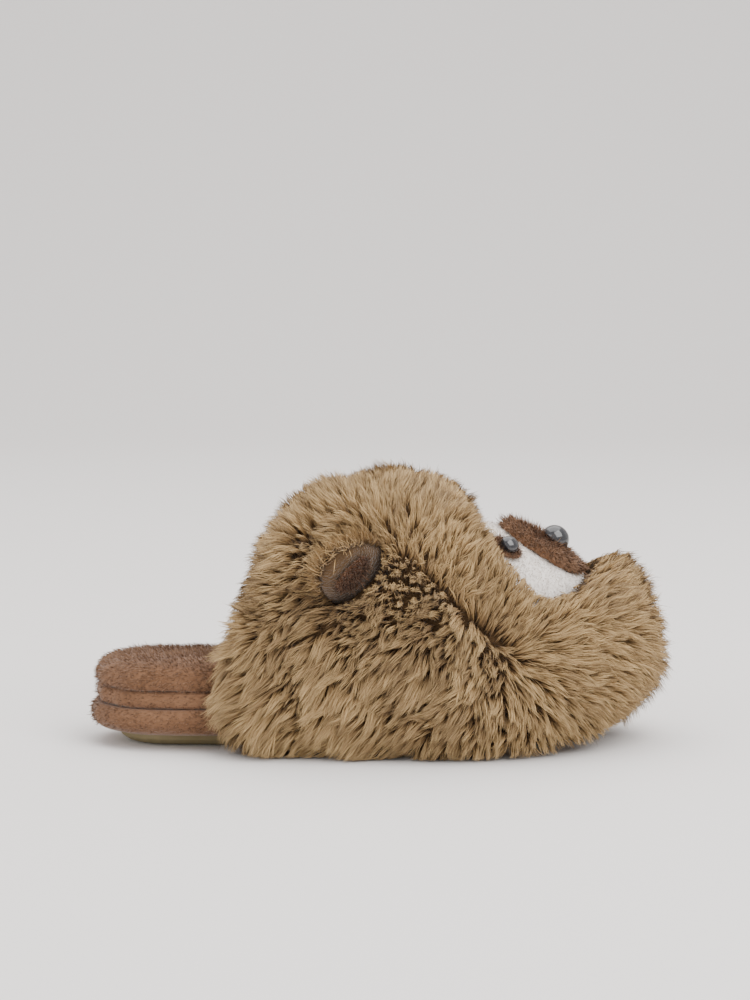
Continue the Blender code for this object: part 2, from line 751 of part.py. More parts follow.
def build_ears(upper, fabric):
    """Fur ears rooted in the head, each with its plush lining."""
    for side, word in ((-1, "right"), (1, "left")):
        origin, along, across, out = ear_frame(side)
        root = fabric.ray_cast(origin + out * CAST_HEIGHT, -out)[0]
        frame = (root, along, across, out)

        def ear_top(run, sway, share, low):
            """Height of the ear, a flat dome."""
            return low + EAR_LENGTH * bulge(share, MUZZLE_BULGE, EAR_RIM)

        def seat_top(run, sway, share, low):
            """Height of the larger form that clears the ear."""
            return low + (EAR_LENGTH + 2.0 * SEAT_GAP) * bulge(share, MUZZLE_BULGE, EAR_SEAT_RIM)

        radii = (EAR_HALF_WIDTH, EAR_HALF_WIDTH, EAR_HALF_THICKNESS)
        ear = pillow("ear_" + word, frame, radii, ear_top, fabric, "fur", sides=20)
        grown = tuple(size + SEAT_GAP for size in radii)
        seat = pillow("ear_seat_" + word, frame, grown, seat_top, fabric, "fur", 0.0, 20)
        add_cutter(upper, seat)
        lining_frame = (root + out * LINING_AT * EAR_LENGTH, along, out, across)

        def lining_top(run, sway, share, low):
            """Height of the thin plush lining on the ear's front."""
            return low + LINING_THICKNESS * (0.4 + 0.6 * bulge(share))

        def hollow_top(run, sway, share, low):
            """Height of the hollow that is kept open in the fur before the ear."""
            return low + EAR_HOLLOW * bulge(share, least=0.5)

        lining_radii = (LINING_HALF_WIDTH, LINING_HALF_WIDTH, LINING_HALF_HEIGHT)
        room = tuple(size + 2.0 * SEAT_GAP for size in lining_radii)
        carrier = object_tree(ear)
        name = "ear_hollow_" + word
        count = dict(clearance=0.0, sides=16, rings=3)
        hollow = pillow(name, lining_frame, room, hollow_top, carrier, "fur", **count)
        add_cutter(upper, hollow)
        name = "ear_lining_" + word
        count = dict(clearance=LINING_GAP, sides=16, rings=4)
        pillow(name, lining_frame, lining_radii, lining_top, carrier, "lining", **count)


def main():
    """Build the slipper from the ground up."""
    clear_scene()
    build_sole()
    upper = build_upper()
    fabric = fabric_tree()
    build_face(upper, fabric)
    build_ears(upper, fabric)


main()
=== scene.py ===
"""Looks of the animal slipper: fur, plush layers, lining, face and studio.

Metres, +Z up, toe towards +X, the wearer's left towards +Y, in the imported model's frame.
The fur is joined ribbons that grow from the fabric of the upper, drawn into tufts.
"""

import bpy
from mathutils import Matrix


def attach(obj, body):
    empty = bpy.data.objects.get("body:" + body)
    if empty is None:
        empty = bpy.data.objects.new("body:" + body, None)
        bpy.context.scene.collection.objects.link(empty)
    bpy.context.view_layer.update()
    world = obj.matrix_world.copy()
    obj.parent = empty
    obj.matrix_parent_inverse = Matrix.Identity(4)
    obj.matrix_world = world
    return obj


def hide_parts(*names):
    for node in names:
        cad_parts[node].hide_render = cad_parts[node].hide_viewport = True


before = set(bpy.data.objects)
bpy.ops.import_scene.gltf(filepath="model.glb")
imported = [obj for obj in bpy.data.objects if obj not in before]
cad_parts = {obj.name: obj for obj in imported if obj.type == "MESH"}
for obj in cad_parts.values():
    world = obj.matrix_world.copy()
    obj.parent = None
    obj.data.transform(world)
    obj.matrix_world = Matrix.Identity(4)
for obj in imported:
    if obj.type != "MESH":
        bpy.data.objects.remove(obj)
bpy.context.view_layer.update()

import logging
import math
from dataclasses import dataclass, field, replace
from enum import Enum
from typing import Callable

import bmesh
import bpy
import numpy as np
from mathutils import Vector

LOG = logging.getLogger("slipper")
BODY = "root"
BAKE_MAP = "OFBake"
Array = np.ndarray
Color = tuple[float, float, float]


class Side(Enum):
    """The two sides of the shoe, by the sign of their y."""

    LATERAL = -1
    MEDIAL = 1


def ease(value: Array) -> Array:
    """Smooth step from 0 to 1."""
    value = np.clip(value, 0.0, 1.0)
    return value * value * (3.0 - 2.0 * value)


def unit(vectors: Array) -> Array:
    """Vectors scaled to length one."""
    size = np.linalg.norm(vectors, axis=-1, keepdims=True)
    return vectors / np.maximum(size, 1e-9)


def dot(first: Array, second: Array) -> Array:
    """Dot products along the last axis, kept as a column."""
    return np.sum(first * second, axis=-1, keepdims=True)


def read(rows: list[tuple[float, ...]], column: int, at: Array) -> Array:
    """Read a table on a smooth curve through its rows.

    Args:
        rows: Rows whose first value is the place.
        column: Index of the value that is read.
        at: Places to read.

    Returns:
        The values at those places.
    """
    places = np.array([row[0] for row in rows])
    values = np.array([row[column] for row in rows])
    span = np.diff(places)
    slope = np.diff(values) / span
    product = slope[:-1] * slope[1:]
    total = np.where(slope[:-1] + slope[1:] == 0.0, 1.0, slope[:-1] + slope[1:])
    inner = np.where(product > 0.0, 2.0 * product / total, 0.0)
    tangent = np.concatenate([slope[:1], inner, slope[-1:]])
    at = np.clip(at, places[0], places[-1])
    i = np.clip(np.searchsorted(places, at, side="right") - 1, 0, len(span) - 1)
    t = (at - places[i]) / span[i]
    start = (1.0 + 2.0 * t) * (1.0 - t) ** 2 * values[i] + t * (1.0 - t) ** 2 * span[i] * tangent[i]
    end = t * t * (3.0 - 2.0 * t) * values[i + 1] + t * t * (t - 1.0) * span[i] * tangent[i + 1]
    return start + end


@dataclass(frozen=True)
class Waves:
    """Smooth seeded variation in space, from a few sine waves."""

    size: float
    seed: int
    count: int = 7

    def at(self, points: Array) -> Array:
        """Values between about -1 and 1 at points in space.

        Args:
            points: Where they are read.

        Returns:
            One value for each point.
        """
        draw = np.random.default_rng(self.seed)
        turns = unit(draw.normal(size=(self.count, 3))) * (2.0 * math.pi / self.size)
        turns *= draw.uniform(0.6, 1.7, size=(self.count, 1))
        phase = draw.uniform(0.0, 2.0 * math.pi, self.count)
        return np.sin(points @ turns.T + phase).sum(-1) / math.sqrt(self.count) * 0.8


class Value:
    """One number socket of a shader, on which sums are written as in Python."""

    def __init__(self, shader: "Shader", socket: bpy.types.NodeSocket) -> None:
        """Keep the shader and the socket."""
        self.shader = shader
        self.socket = socket

    def _math(self, operation: str, first: "Value | float", second: "Value | float") -> "Value":
        """Add one Math node."""
        return self.shader.node("ShaderNodeMath", {"operation": operation}, {0: first, 1: second})

    def __add__(self, other: "Value | float") -> "Value":
        """Sum."""
        return self._math("ADD", self, other)

    def __sub__(self, other: "Value | float") -> "Value":
        """Difference."""
        return self._math("SUBTRACT", self, other)

    def __rsub__(self, other: float) -> "Value":
        """Difference from a number."""
        return self._math("SUBTRACT", other, self)

    def __mul__(self, other: "Value | float") -> "Value":
        """Product."""
        return self._math("MULTIPLY", self, other)

    __radd__ = __add__
    __rmul__ = __mul__

    def clamp(self) -> "Value":
        """This value held between 0 and 1."""
        return self.shader.node("ShaderNodeClamp", {}, {0: self})


class Shader:
    """A Principled material and the nodes that feed it."""

    def __init__(self, name: str, **constants: object) -> None:
        """Make the material and set the shader's own sockets.

        Args:
            name: Name of the material.
            **constants: Socket names, with _ for a space, and their values.
        """
        self.material = bpy.data.materials.new(name)
        self.material.use_nodes = True
        self.tree = self.material.node_tree
        self.shader = self.tree.nodes["Principled BSDF"]
        for label, value in constants.items():
            self.shader.inputs[label.replace("_", " ")].default_value = value

    def node(self, kind: str, settings: dict, inputs: dict, output: int | str = 0) -> Value:
        """Add a node.

        Args:
            kind: The node's type.
            settings: Its properties, set first.
            inputs: Values, colours or Value links of its sockets.
            output: Which output comes back.

        Returns:
            The output, wrapped.
        """
        made = self.tree.nodes.new(kind)
        for label, value in settings.items():
            setattr(made, label, value)
        for label, value in inputs.items():
            self.feed(made.inputs[label], value)
        return Value(self, made.outputs[output])

    def feed(self, socket: bpy.types.NodeSocket, value: object) -> None:
        """Link or set one socket.

        Args:
            socket: The socket.
            value: A Value, a colour or a number.
        """
        if isinstance(value, Value):
            self.tree.links.new(value.socket, socket)
        elif isinstance(value, tuple) and len(value) == 3 and socket.type == "RGBA":
            socket.default_value = (*value, 1.0)
        else:
            socket.default_value = value

    def mix(self, share: Value | float, first: object, second: object) -> Value:
        """Blend two colours by a share."""
        return self.node("ShaderNodeMix", {"data_type": "RGBA"}, {0: share, 6: first, 7: second}, 2)

    def noise(self, scale: float, detail: float = 3.0, stretch: Color = (1.0, 1.0, 1.0)) -> Value:
        """Noise in the object's own metres, stretched along its axes.

        Args:
            scale: Bumps to the metre, roughly.
            detail: Finer octaves.
            stretch: Scale along each axis.

        Returns:
            The noise.
        """
        place = self.node("ShaderNodeTexCoord", {}, {}, "Object")
        mapped = self.node("ShaderNodeMapping", {}, {0: place, "Scale": stretch})
        inputs = {"Vector": mapped, "Scale": scale, "Detail": detail}
        return self.node("ShaderNodeTexNoise", {}, inputs)

    def bump(self, height: Value, strength: float, distance: float) -> None:
        """Feed a bump to the shader's normal.

        Args:
            height: What stands up.
            strength: How much of it shows.
            distance: Its height in metres.
        """
        inputs = {"Height": height, "Strength": strength, "Distance": distance}
        made = self.node("ShaderNodeBump", {}, inputs)
        self.feed(self.shader.inputs["Normal"], made)

    def color(self, value: Value) -> None:
        """Feed the shader's colour."""
        self.feed(self.shader.inputs["Base Color"], value)


@dataclass(frozen=True)
class FurFinish:
    """Colours of hairs, by how light a hair is and by the place along it, with painted shade at the root.
    """

    name: str
    root: Color
    dark_body: Color
    dark_tip: Color
    light_body: Color
    light_tip: Color
    roughness: float = 0.62

    def build(self) -> bpy.types.Material:
        """The material of hairs that carry the tone and along attributes.

        Returns:
            The material.
        """
        made = Shader(self.name, Roughness=self.roughness, Specular_IOR_Level=0.22,
                      Sheen_Weight=0.12, Sheen_Roughness=0.5)
        # The tone is each hair's own lightness; on the upper's long fur it also carries a band of painted
        # shade.
        tone = made.node("ShaderNodeAttribute", {"attribute_name": "tone"}, {}, "Fac")
        along = made.node("ShaderNodeAttribute", {"attribute_name": "along"}, {}, "Fac")
        body = made.mix(tone, self.dark_body, self.light_body)
        tip = made.mix(tone, self.dark_tip, self.light_tip)
        upper = made.mix((along * 1.6 - 0.6).clamp(), body, tip)
        # The root colour, the darkest, is painted shade at the base of the hairs.
        made.color(made.mix((along * 2.4).clamp(), self.root, upper))
        return made.material


@dataclass(frozen=True)
class PlushFinish:
    """Short-pile fabric: mottled colour and a soft nap in relief."""

    name: str
    base: Color
    light: Color
    grain: float = 900.0
    patch: float = 60.0
    relief: float = 0.0008
    roughness: float = 0.9
    stretch: Color = (0.45, 1.0, 1.0)

    def build(self) -> bpy.types.Material:
        """Build the nodes of this finish.

        Returns:
            The material.
        """
        made = Shader(self.name, Roughness=self.roughness, Specular_IOR_Level=0.15,
                      Sheen_Weight=0.25, Sheen_Roughness=0.4)
        grain = made.noise(self.grain, 4.0, self.stretch)
        patch = made.noise(self.patch, 4.0, self.stretch)
        share = (grain * 0.9 + patch * 1.3 - 0.6).clamp()
        made.color(made.mix(share, self.base, self.light))
        made.bump(grain + patch * 0.8, 0.8, self.relief)
        return made.material


@dataclass(frozen=True)
class GlossFinish:
    """Smooth moulded plastic under a clear coat, with faint dust and hair marks."""

    name: str
    base: Color

    def build(self) -> bpy.types.Material:
        """Build the nodes of this finish.

        Returns:
            The material.
        """
        made = Shader(self.name, Specular_IOR_Level=0.55, Coat_Roughness=0.06)
        dust = made.noise(420.0, 5.0)
        made.color(made.mix((dust * 1.6 - 0.75).clamp(), self.base, (0.05, 0.05, 0.055)))
        made.feed(made.shader.inputs["Roughness"], dust * 0.12 + 0.10)
        made.feed(made.shader.inputs["Coat Weight"], dust * 0.2 + 0.5)
        made.bump(made.noise(160.0, 2.0), 0.12, 0.0003)
        return made.material


@dataclass(frozen=True)
class RubberFinish:
    """Matt foamed rubber of the outsole, with a fine cast tread and scuffs."""

    name: str
    base: Color
    worn: Color

    def build(self) -> bpy.types.Material:
        """Build the nodes of this finish.

        Returns:
            The material.
        """
        made = Shader(self.name, Specular_IOR_Level=0.3)
        speck = made.noise(1400.0, 3.0)
        scuff = made.noise(70.0, 5.0, (1.0, 1.0, 4.0))
        made.color(made.mix((scuff * 1.8 - 0.6).clamp(), self.base, self.worn))
        made.feed(made.shader.inputs["Roughness"], scuff * 0.25 + 0.55)
        place = made.node("ShaderNodeTexCoord", {}, {}, "Object")
        settings = {"wave_type": "BANDS", "bands_direction": "X", "wave_profile": "SIN"}
        inputs = {"Vector": place, "Scale": 48.0, "Distortion": 3.0, "Detail": 0.0, "Detail Scale": 0.6}
        tread = made.node("ShaderNodeTexWave", settings, inputs, "Fac")
        made.bump(tread * 0.6 + speck * 0.4, 0.5, 0.0006)
        return made.material


# The first colour of each hair finish, the root, is painted shade deep in the pile.
FUR = FurFinish("long_fur", (0.060, 0.034, 0.016), (0.125, 0.070, 0.030), (0.100, 0.055, 0.025),
                (0.400, 0.250, 0.105), (0.640, 0.450, 0.220))
# Painted shade: this dark brown stands for the shade deep in the fur, on the sheet inside the upper's fur
# and on the ears' bodies.
PAINTED_SHADE_UNDER_FUR = PlushFinish("under_fur", (0.060, 0.034, 0.016), (0.130, 0.075, 0.034), relief=0.002)
PLUSH = PlushFinish("brown_plush", (0.115, 0.054, 0.026), (0.260, 0.140, 0.078))
PLUSH_HAIR = FurFinish("brown_plush_hair", (0.050, 0.024, 0.012), (0.090, 0.043, 0.021),
                       (0.120, 0.060, 0.030), (0.210, 0.112, 0.060), (0.330, 0.190, 0.110))
FACE = PlushFinish("white_plush", (0.700, 0.640, 0.580), (0.860, 0.820, 0.780), relief=0.0004)
FACE_HAIR = FurFinish("white_plush_hair", (0.560, 0.500, 0.440), (0.700, 0.650, 0.600),
                      (0.780, 0.730, 0.690), (0.820, 0.780, 0.740), (0.920, 0.890, 0.860))
LINING = PlushFinish("grey_lining", (0.330, 0.310, 0.300), (0.480, 0.455, 0.440), relief=0.0005)
EAR_PLUSH = PlushFinish("ear_plush", (0.055, 0.025, 0.012), (0.135, 0.062, 0.032))
GLOSS = GlossFinish("black_gloss", (0.012, 0.012, 0.015))
RUBBER = RubberFinish("outsole_rubber", (0.200, 0.160, 0.080), (0.270, 0.220, 0.125))


def link(name: str, mesh: bpy.types.Mesh, material: bpy.types.Material) -> bpy.types.Object:
    """Make an object that rides on the shoe.

    Args:
        name: Plain name of the piece.
        mesh: Its mesh.
        material: Its material.

    Returns:
        The object.
    """
    obj = bpy.data.objects.new(name, mesh)
    obj.data.materials.clear()
    obj.data.materials.append(material)
    bpy.context.scene.collection.objects.link(obj)
    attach(obj, BODY)
    return obj


def grid_mesh(name: str, points: Array, closed: bool = False) -> bpy.types.Mesh:
    """A mesh of quads over a grid of points.

    Args:
        name: Name of the mesh.
        points: Points in rows and columns.
        closed: Whether the rows join round.

    Returns:
        The mesh, shaded smooth, with doubled points merged.
    """
    rows, cols = points.shape[:2]
    count = rows if closed else rows - 1
    i, j = np.meshgrid(np.arange(count), np.arange(cols - 1), indexing="ij")
    k = (i + 1) % rows
    quads = np.stack([i * cols + j, k * cols + j, k * cols + j + 1, i * cols + j + 1], -1)
    mesh = bpy.data.meshes.new(name)
    mesh.from_pydata(points.reshape(-1, 3).tolist(), [], quads.reshape(-1, 4).tolist())
    work = bmesh.new()
    work.from_mesh(mesh)
    bmesh.ops.remove_doubles(work, verts=work.verts[:], dist=1e-5)
    bmesh.ops.recalc_face_normals(work, faces=work.faces[:])
    work.to_mesh(mesh)
    work.free()
    mesh.shade_smooth()
    return mesh


@dataclass
class Hairs:
    """Hairs before they become a mesh: one row of the arrays for each hair."""

    paths: Array
    facing: Array
    width: Array
    tone: Array

    def mesh(self, name: str) -> bpy.types.Mesh:
        """Join the hairs into one mesh of tapered ribbons.

        Args:
            name: Name of the mesh.

        Returns:
            The mesh, with the tone and along attributes and the bake's map.
        """
        count, steps = self.paths.shape[:2]
        tangent = unit(np.gradient(self.paths, axis=1))
        across = unit(np.cross(tangent, self.facing[:, None, :]))
        along = np.linspace(0.0, 1.0, steps)
        taper = (1.0 - along ** 3)[None, :, None]
        half = across * self.width[:, None, None] * taper / 2.0
        left = self.paths[:, :-1] - half[:, :-1]
        right = self.paths[:, :-1] + half[:, :-1]
        pairs = np.stack([left, right], axis=2).reshape(count, -1, 3)
        points = np.concatenate([pairs, self.paths[:, -1:]], axis=1)
        each = points.shape[1]
        quads = [(2 * k, 2 * k + 1, 2 * k + 3, 2 * k + 2) for k in range(steps - 2)]
        corners = [c for quad in quads for c in quad] + [each - 3, each - 2, each - 1]
        starts = [4 * k for k in range(steps - 1)]
        loops = np.array(corners)[None, :] + np.arange(count)[:, None] * each
        begin = np.array(starts)[None, :] + np.arange(count)[:, None] * len(corners)
        mesh = bpy.data.meshes.new(name)
        mesh.vertices.add(count * each)
        mesh.vertices.foreach_set("co", points.astype(np.float32).ravel())
        mesh.loops.add(loops.size)
        mesh.loops.foreach_set("vertex_index", loops.astype(np.int32).ravel())
        mesh.polygons.add(begin.size)
        mesh.polygons.foreach_set("loop_start", begin.astype(np.int32).ravel())
        mesh.update(calc_edges=True)
        share = np.append(np.repeat(along[:-1], 2), 1.0)
        low, high = self.tone.min(), self.tone.max()
        level = (self.tone - low) / max(high - low, 1e-6)
        values = (("tone", np.repeat(self.tone, each)), ("along", np.tile(share, count)))
        for label, value in values:
            mesh.attributes.new(label, "FLOAT", "POINT").data.foreach_set("value",
                                                                          value.astype(np.float32))
        side = np.append(np.tile([-0.004, 0.004], steps - 1), 0.0)
        u = 0.02 + 0.96 * level[:, None] + side[None, :]
        v = np.broadcast_to(0.02 + 0.96 * share, u.shape)
        places = np.stack([u, v], -1).reshape(-1, 2)[loops.ravel()]
        layer = mesh.uv_layers.new(name=BAKE_MAP)
        layer.data.foreach_set("uv", places.astype(np.float32).ravel())
        mesh.shade_smooth()
        return mesh


@dataclass(frozen=True)
class SoleLine:
    """The sole's outline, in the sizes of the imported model."""

    length: float = 0.262
    ball: float = 0.096
    heel_round: float = 0.038
    toe_round: float = 0.050
    spring: float = 0.0078
    spring_start: float = 0.055
    setback: float = 0.043
    steps: int = 400
    # at, medial, lateral, axis: shares of the length and of half the ball width
    rows: tuple = ((0.00, 0.75, 0.75, 0.00), (0.16, 0.76, 0.77, 0.00), (0.36, 0.72, 0.83, 0.00),
                   (0.54, 0.83, 0.93, 0.00), (0.70, 1.00, 1.00, 0.00), (0.84, 0.98, 0.92, 0.03),
                   (1.00, 0.86, 0.74, 0.09))

    def lift(self, x: Array) -> Array:
        """Toe spring along the sole."""
        run = (x - self.spring_start) / (self.length / 2.0 - self.spring_start)
        return self.spring * np.maximum(run, 0.0) ** 2

    def axis(self, x: Array) -> Array:
        """Sideways place of the sole's axis."""
        return read(self.rows, 3, x / self.length + 0.5) * self.ball / 2.0

    def line(self, side: Side) -> tuple[Array, Array]:
        """One side of the outline.

        Args:
            side: Which side.

        Returns:
            Its points from the heel tip to the toe tip, and its length so far at each.
        """
        share = (1.0 - np.cos(np.linspace(0.0, math.pi, self.steps))) / 2.0
        column = 1 if side is Side.MEDIAL else 2
        width = read(self.rows, column, share) * self.ball / 2.0
        for gap, radius in ((share, self.heel_round), (1.0 - share, self.toe_round)):
            reach = np.clip(gap * self.length / radius, 0.0, 1.0)
            width = width * np.sqrt(1.0 - (1.0 - reach) ** 2)
        x = (share - 0.5) * self.length
        points = np.stack([x, self.axis(x) + side.value * width], -1)
        reach = np.append(0.0, np.cumsum(np.linalg.norm(np.diff(points, axis=0), axis=1)))
        return points, reach / reach[-1]

    def at(self, side: Side, share: Array) -> tuple[Array, Array]:
        """Points and outward normals at shares of one side's length.

        Args:
            side: Which side.
            share: Shares of its length.

        Returns:
            The points and the normals.
        """
        points, reach = self.line(side)

        def spot(place: Array) -> Array:
            """Point of the line at shares of its length."""
            place = np.clip(place, 0.0, 1.0)
            return np.stack([np.interp(place, reach, points[:, k]) for k in (0, 1)], -1)

        along = unit(spot(share + 0.006) - spot(share - 0.006))
        normal = np.stack([-along[..., 1], along[..., 0]], -1) * side.value
        return spot(share), normal

    def collar(self, side: Side) -> float:
        """Share of one side's length where the upper starts."""
        points, reach = self.line(side)
        return float(np.interp(-self.setback, points[:, 0], reach))


LINE = SoleLine()


@dataclass
class Crease:
    """A soft trough across a layer's side, at a given place."""

    x: float
    side: Side
    depth: float
    width: float
    slant: float = 0.0


@dataclass
class SoleLayer:
    """One plush-covered foam layer of the sole."""

    name: str
    bottom: float
    height: float
    base_inset: float
    inset_scale: float
    profile: list[tuple[float, float]]
    creases: list[Crease] = field(default_factory=list)
    fill: float = 0.8
    around: int = 150
    rows: int = 22
    swell: float = 0.0007

    def build(self) -> bpy.types.Object:
        """Make the layer's mesh and dress it.

        Returns:
            The layer, which stands for its solid.
        """
        ring, normal = self._ring()
        rise = np.linspace(0.0, 1.0, self.rows)
        inset = self.base_inset + self.inset_scale * read(self.profile, 1, rise)
        columns = [self._flat(ring, normal, inset[0], share, self.bottom) for share in (0.0, 0.5)]
        for step in range(self.rows):
            spot = ring - normal * inset[step]
            columns.append(self._raised(spot, self.bottom + self.height * rise[step]))
        top = self.bottom + self.height
        for share in (0.88, 0.74, 0.58, 0.42, 0.26, 0.12, 0.0):
            columns.append(self._flat(ring, normal, inset[-1], share, top))
        points = np.stack(columns, axis=1)
        points = self._worn(points, normal)
        mesh = grid_mesh(self.name, points, closed=True)
        obj = link(self.name + "_plush", mesh, MATERIALS["plush"])
        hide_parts(self.name)
        return obj

    def _ring(self) -> tuple[Array, Array]:
        """The outline's points and normals, all the way round.

        Returns:
            The points and the normals.
        """
        share = np.linspace(0.0, 1.0, self.around, endpoint=False)
        lateral = LINE.at(Side.LATERAL, share)
        medial = LINE.at(Side.MEDIAL, 1.0 - share)
        return tuple(np.concatenate(pair) for pair in zip(lateral, medial))

    def _raised(self, spot: Array, height: float) -> Array:
        """Points of a ring at a height, lifted by the toe spring."""
        return np.column_stack([spot, height + LINE.lift(spot[:, 0])])

    def _flat(self, ring: Array, normal: Array, inset: float, share: float, height: float) -> Array:
        """A ring drawn in towards the sole's axis.

        Args:
            ring: The outline.
            normal: Its outward normals.
            inset: How far the ring starts inside it.
            share: Width that is left, 0 at the axis.
            height: Its height on a flat sole.

        Returns:
            The ring's points.
        """
        spot = ring - normal * inset
        axis = LINE.axis(spot[:, 0])
        drawn = np.column_stack([spot[:, 0], axis + (spot[:, 1] - axis) * share])
        return self._raised(drawn, height)

    def _worn(self, points: Array, normal: Array) -> Array:
        """Soft swells and the given creases.

        Args:
            points: The layer's rings.
            normal: The outline's normals.

        Returns:
            The moved points.
        """
        out = np.column_stack([normal, np.zeros(len(normal))])[:, None, :]
        flat = points.reshape(-1, 3)
        swell = (Waves(0.030, 5).at(flat) + 0.5 * Waves(0.011, 8).at(flat)).reshape(points.shape[:2])
        points = points + out * (swell * self.swell)[..., None]
        for crease in self.creases:
            run = points[..., 0] - crease.x - crease.slant * (points[..., 2] - self.bottom)
            same = np.sign(points[..., 1]) == crease.side.value
            trough = crease.depth * np.exp(-((run / crease.width) ** 2)) * same
            points = points - out * trough[..., None]
            points[..., 2] -= 0.5 * trough
        return points


@dataclass
class Shell:
    """The upper's form as grids: fabric, pile direction and inner face."""

    cavity: float = 0.061
    arch_start: float = 0.0345
    hem: float = 0.0048
    footbed_top: float = 0.0448
    inset: float = 0.0017
    wall: float = 0.0060
    stuffing: float = 0.020
    stuffing_start: float = math.radians(12.0)
    stuffing_full: float = math.radians(70.0)
    pile: float = 0.0215
    hem_taper: float = 0.38
    roll_side: float = 0.80
    roll_top: float = 0.50
    side_rows: int = 14
    arch_rows: int = 40
    columns: int = 90
    roll_columns: int = 8
    # at, spine, height, stuffing, full, pile, lean
    rows: tuple = ((0.00, 0.480, 1.00, 0.12, 2.3, 1.00, 0.55),
                   (0.12, 0.524, 0.94, 0.50, 2.3, 1.00, 0.72),
                   (0.25, 0.578, 0.86, 0.85, 2.3, 1.00, 0.90), (0.42, 0.655, 0.68, 1.00, 2.3, 1.00,
                                                                1.00),
                   (0.60, 0.742, 0.54, 0.80, 2.3, 1.00, 1.00), (0.74, 0.805, 0.47, 0.35, 2.2, 1.00,
                                                                1.00),
                   (0.86, 0.850, 0.43, 0.28, 2.2, 1.12, 1.00), (1.00, 0.874, 0.39, 0.50, 2.2, 1.32,
                                                                1.00))

    def __post_init__(self) -> None:
        """Work out the grids once."""
        share = np.linspace(0.0, 1.0, self.columns)
        lateral = self._inner(share, Side.LATERAL)
        medial = self._inner(share[-2::-1], Side.MEDIAL)
        self.inner = np.concatenate([lateral, medial])
        place = np.concatenate([share, share[-2::-1]])[:, None]
        sign = np.where(np.arange(len(place)) < self.columns, 1.0, -1.0)[:, None, None]
        along = unit(np.gradient(self.inner, axis=0))
        up = unit(np.gradient(self.inner, axis=1))
        out = unit(np.cross(along, up))
        centre = np.array([0.03, 0.0, 0.03])
        out = out * np.sign(dot(out, self.inner - centre))
        out[:, -1, 1] = 0.0
        out = unit(out)
        back = -along * sign
        rise, turn = self._rows()
        climb = (turn - self.stuffing_start) / (self.stuffing_full - self.stuffing_start)
        fabric = self.wall + self.stuffing * read(self.rows, 3, place) * ease(climb)
        taper = self.hem_taper + (1.0 - self.hem_taper) * np.sin(math.pi / 2.0 * rise)
        pile = self.pile * read(self.rows, 5, place) * taper
        rolls = np.radians(np.linspace(88.0, 0.0, self.roll_columns, endpoint=False))
        behind = self.roll_side + (self.roll_top - self.roll_side) * ease(turn / math.radians(45.0))
        grids = []
        for column, order in ((0, rolls), (-1, rolls[::-1])):
            spread = out[column][None] * np.cos(order)[:, None, None]
            spread = spread + back[column][None] * (np.sin(order)[:, None] * behind)[..., None]
            grids.append(spread)
        self.out = np.concatenate([grids[0], out, grids[1]])
        base = np.concatenate([np.repeat(self.inner[:1], len(rolls), 0), self.inner,
                               np.repeat(self.inner[-1:], len(rolls), 0)])
        depth = (fabric * taper)[..., None]
        depth = np.concatenate([np.repeat(depth[:1], len(rolls), 0), depth,
                                np.repeat(depth[-1:], len(rolls), 0)])
        self.depth = np.concatenate([np.repeat(pile[:1], len(rolls), 0), pile,
                                     np.repeat(pile[-1:], len(rolls), 0)])[..., None]
        self.fabric = base + self.out * depth

    def _rows(self) -> tuple[Array, Array]:
        """Rise up the side and turn round the arch of each row.

        Returns:
            The two values of every row.
        """
        rise = np.concatenate([np.linspace(0.0, 1.0, self.side_rows, endpoint=False),
                               np.ones(self.arch_rows)])
        turn = np.concatenate([np.zeros(self.side_rows),
                               np.linspace(0.0, math.pi / 2.0, self.arch_rows)])
        return rise, turn

    def _inner(self, share: Array, side: Side) -> Array:
        """Inner form at shares from the collar to the toe tip, for every row.

        Args:
            share: Shares from the collar to the toe tip.
            side: Which side.

        Returns:
            A grid of points.
        """
        rise, turn = self._rows()
        collar = LINE.collar(side)
        place, normal = LINE.at(side, collar + (1.0 - collar) * share)
        foot = (place - normal * self.inset)[:, None, :]
        lift = LINE.lift(foot[..., 0])
        start = self.arch_start + lift
        spine_x = ((read(self.rows, 1, share) - 0.5) * LINE.length)[:, None]
        height = read(self.rows, 2, share)[:, None] * self.cavity
        top = self.footbed_top + LINE.lift(spine_x) + height
        power = (2.0 / read(self.rows, 4, share))[:, None]
        inward = 1.0 - np.maximum(np.cos(turn), 0.0)[None] ** power
        upward = np.sin(turn)[None] ** power
        forward = inward ** read(self.rows, 6, share)[:, None]
        x = foot[..., 0] + (spine_x - foot[..., 0]) * forward
        y = foot[..., 1] + (LINE.axis(spine_x) - foot[..., 1]) * inward
        side_z = self.hem + lift + (start - self.hem - lift) * rise[None]
        z = np.where(rise[None] < 1.0, side_z, start + (top - start) * upward)
        return np.stack([x, y, z], -1)

    def skin(self, share: float) -> Array:
        """The grid of points at a share of the pile over the fabric."""
        return self.fabric + self.out * self.depth * share


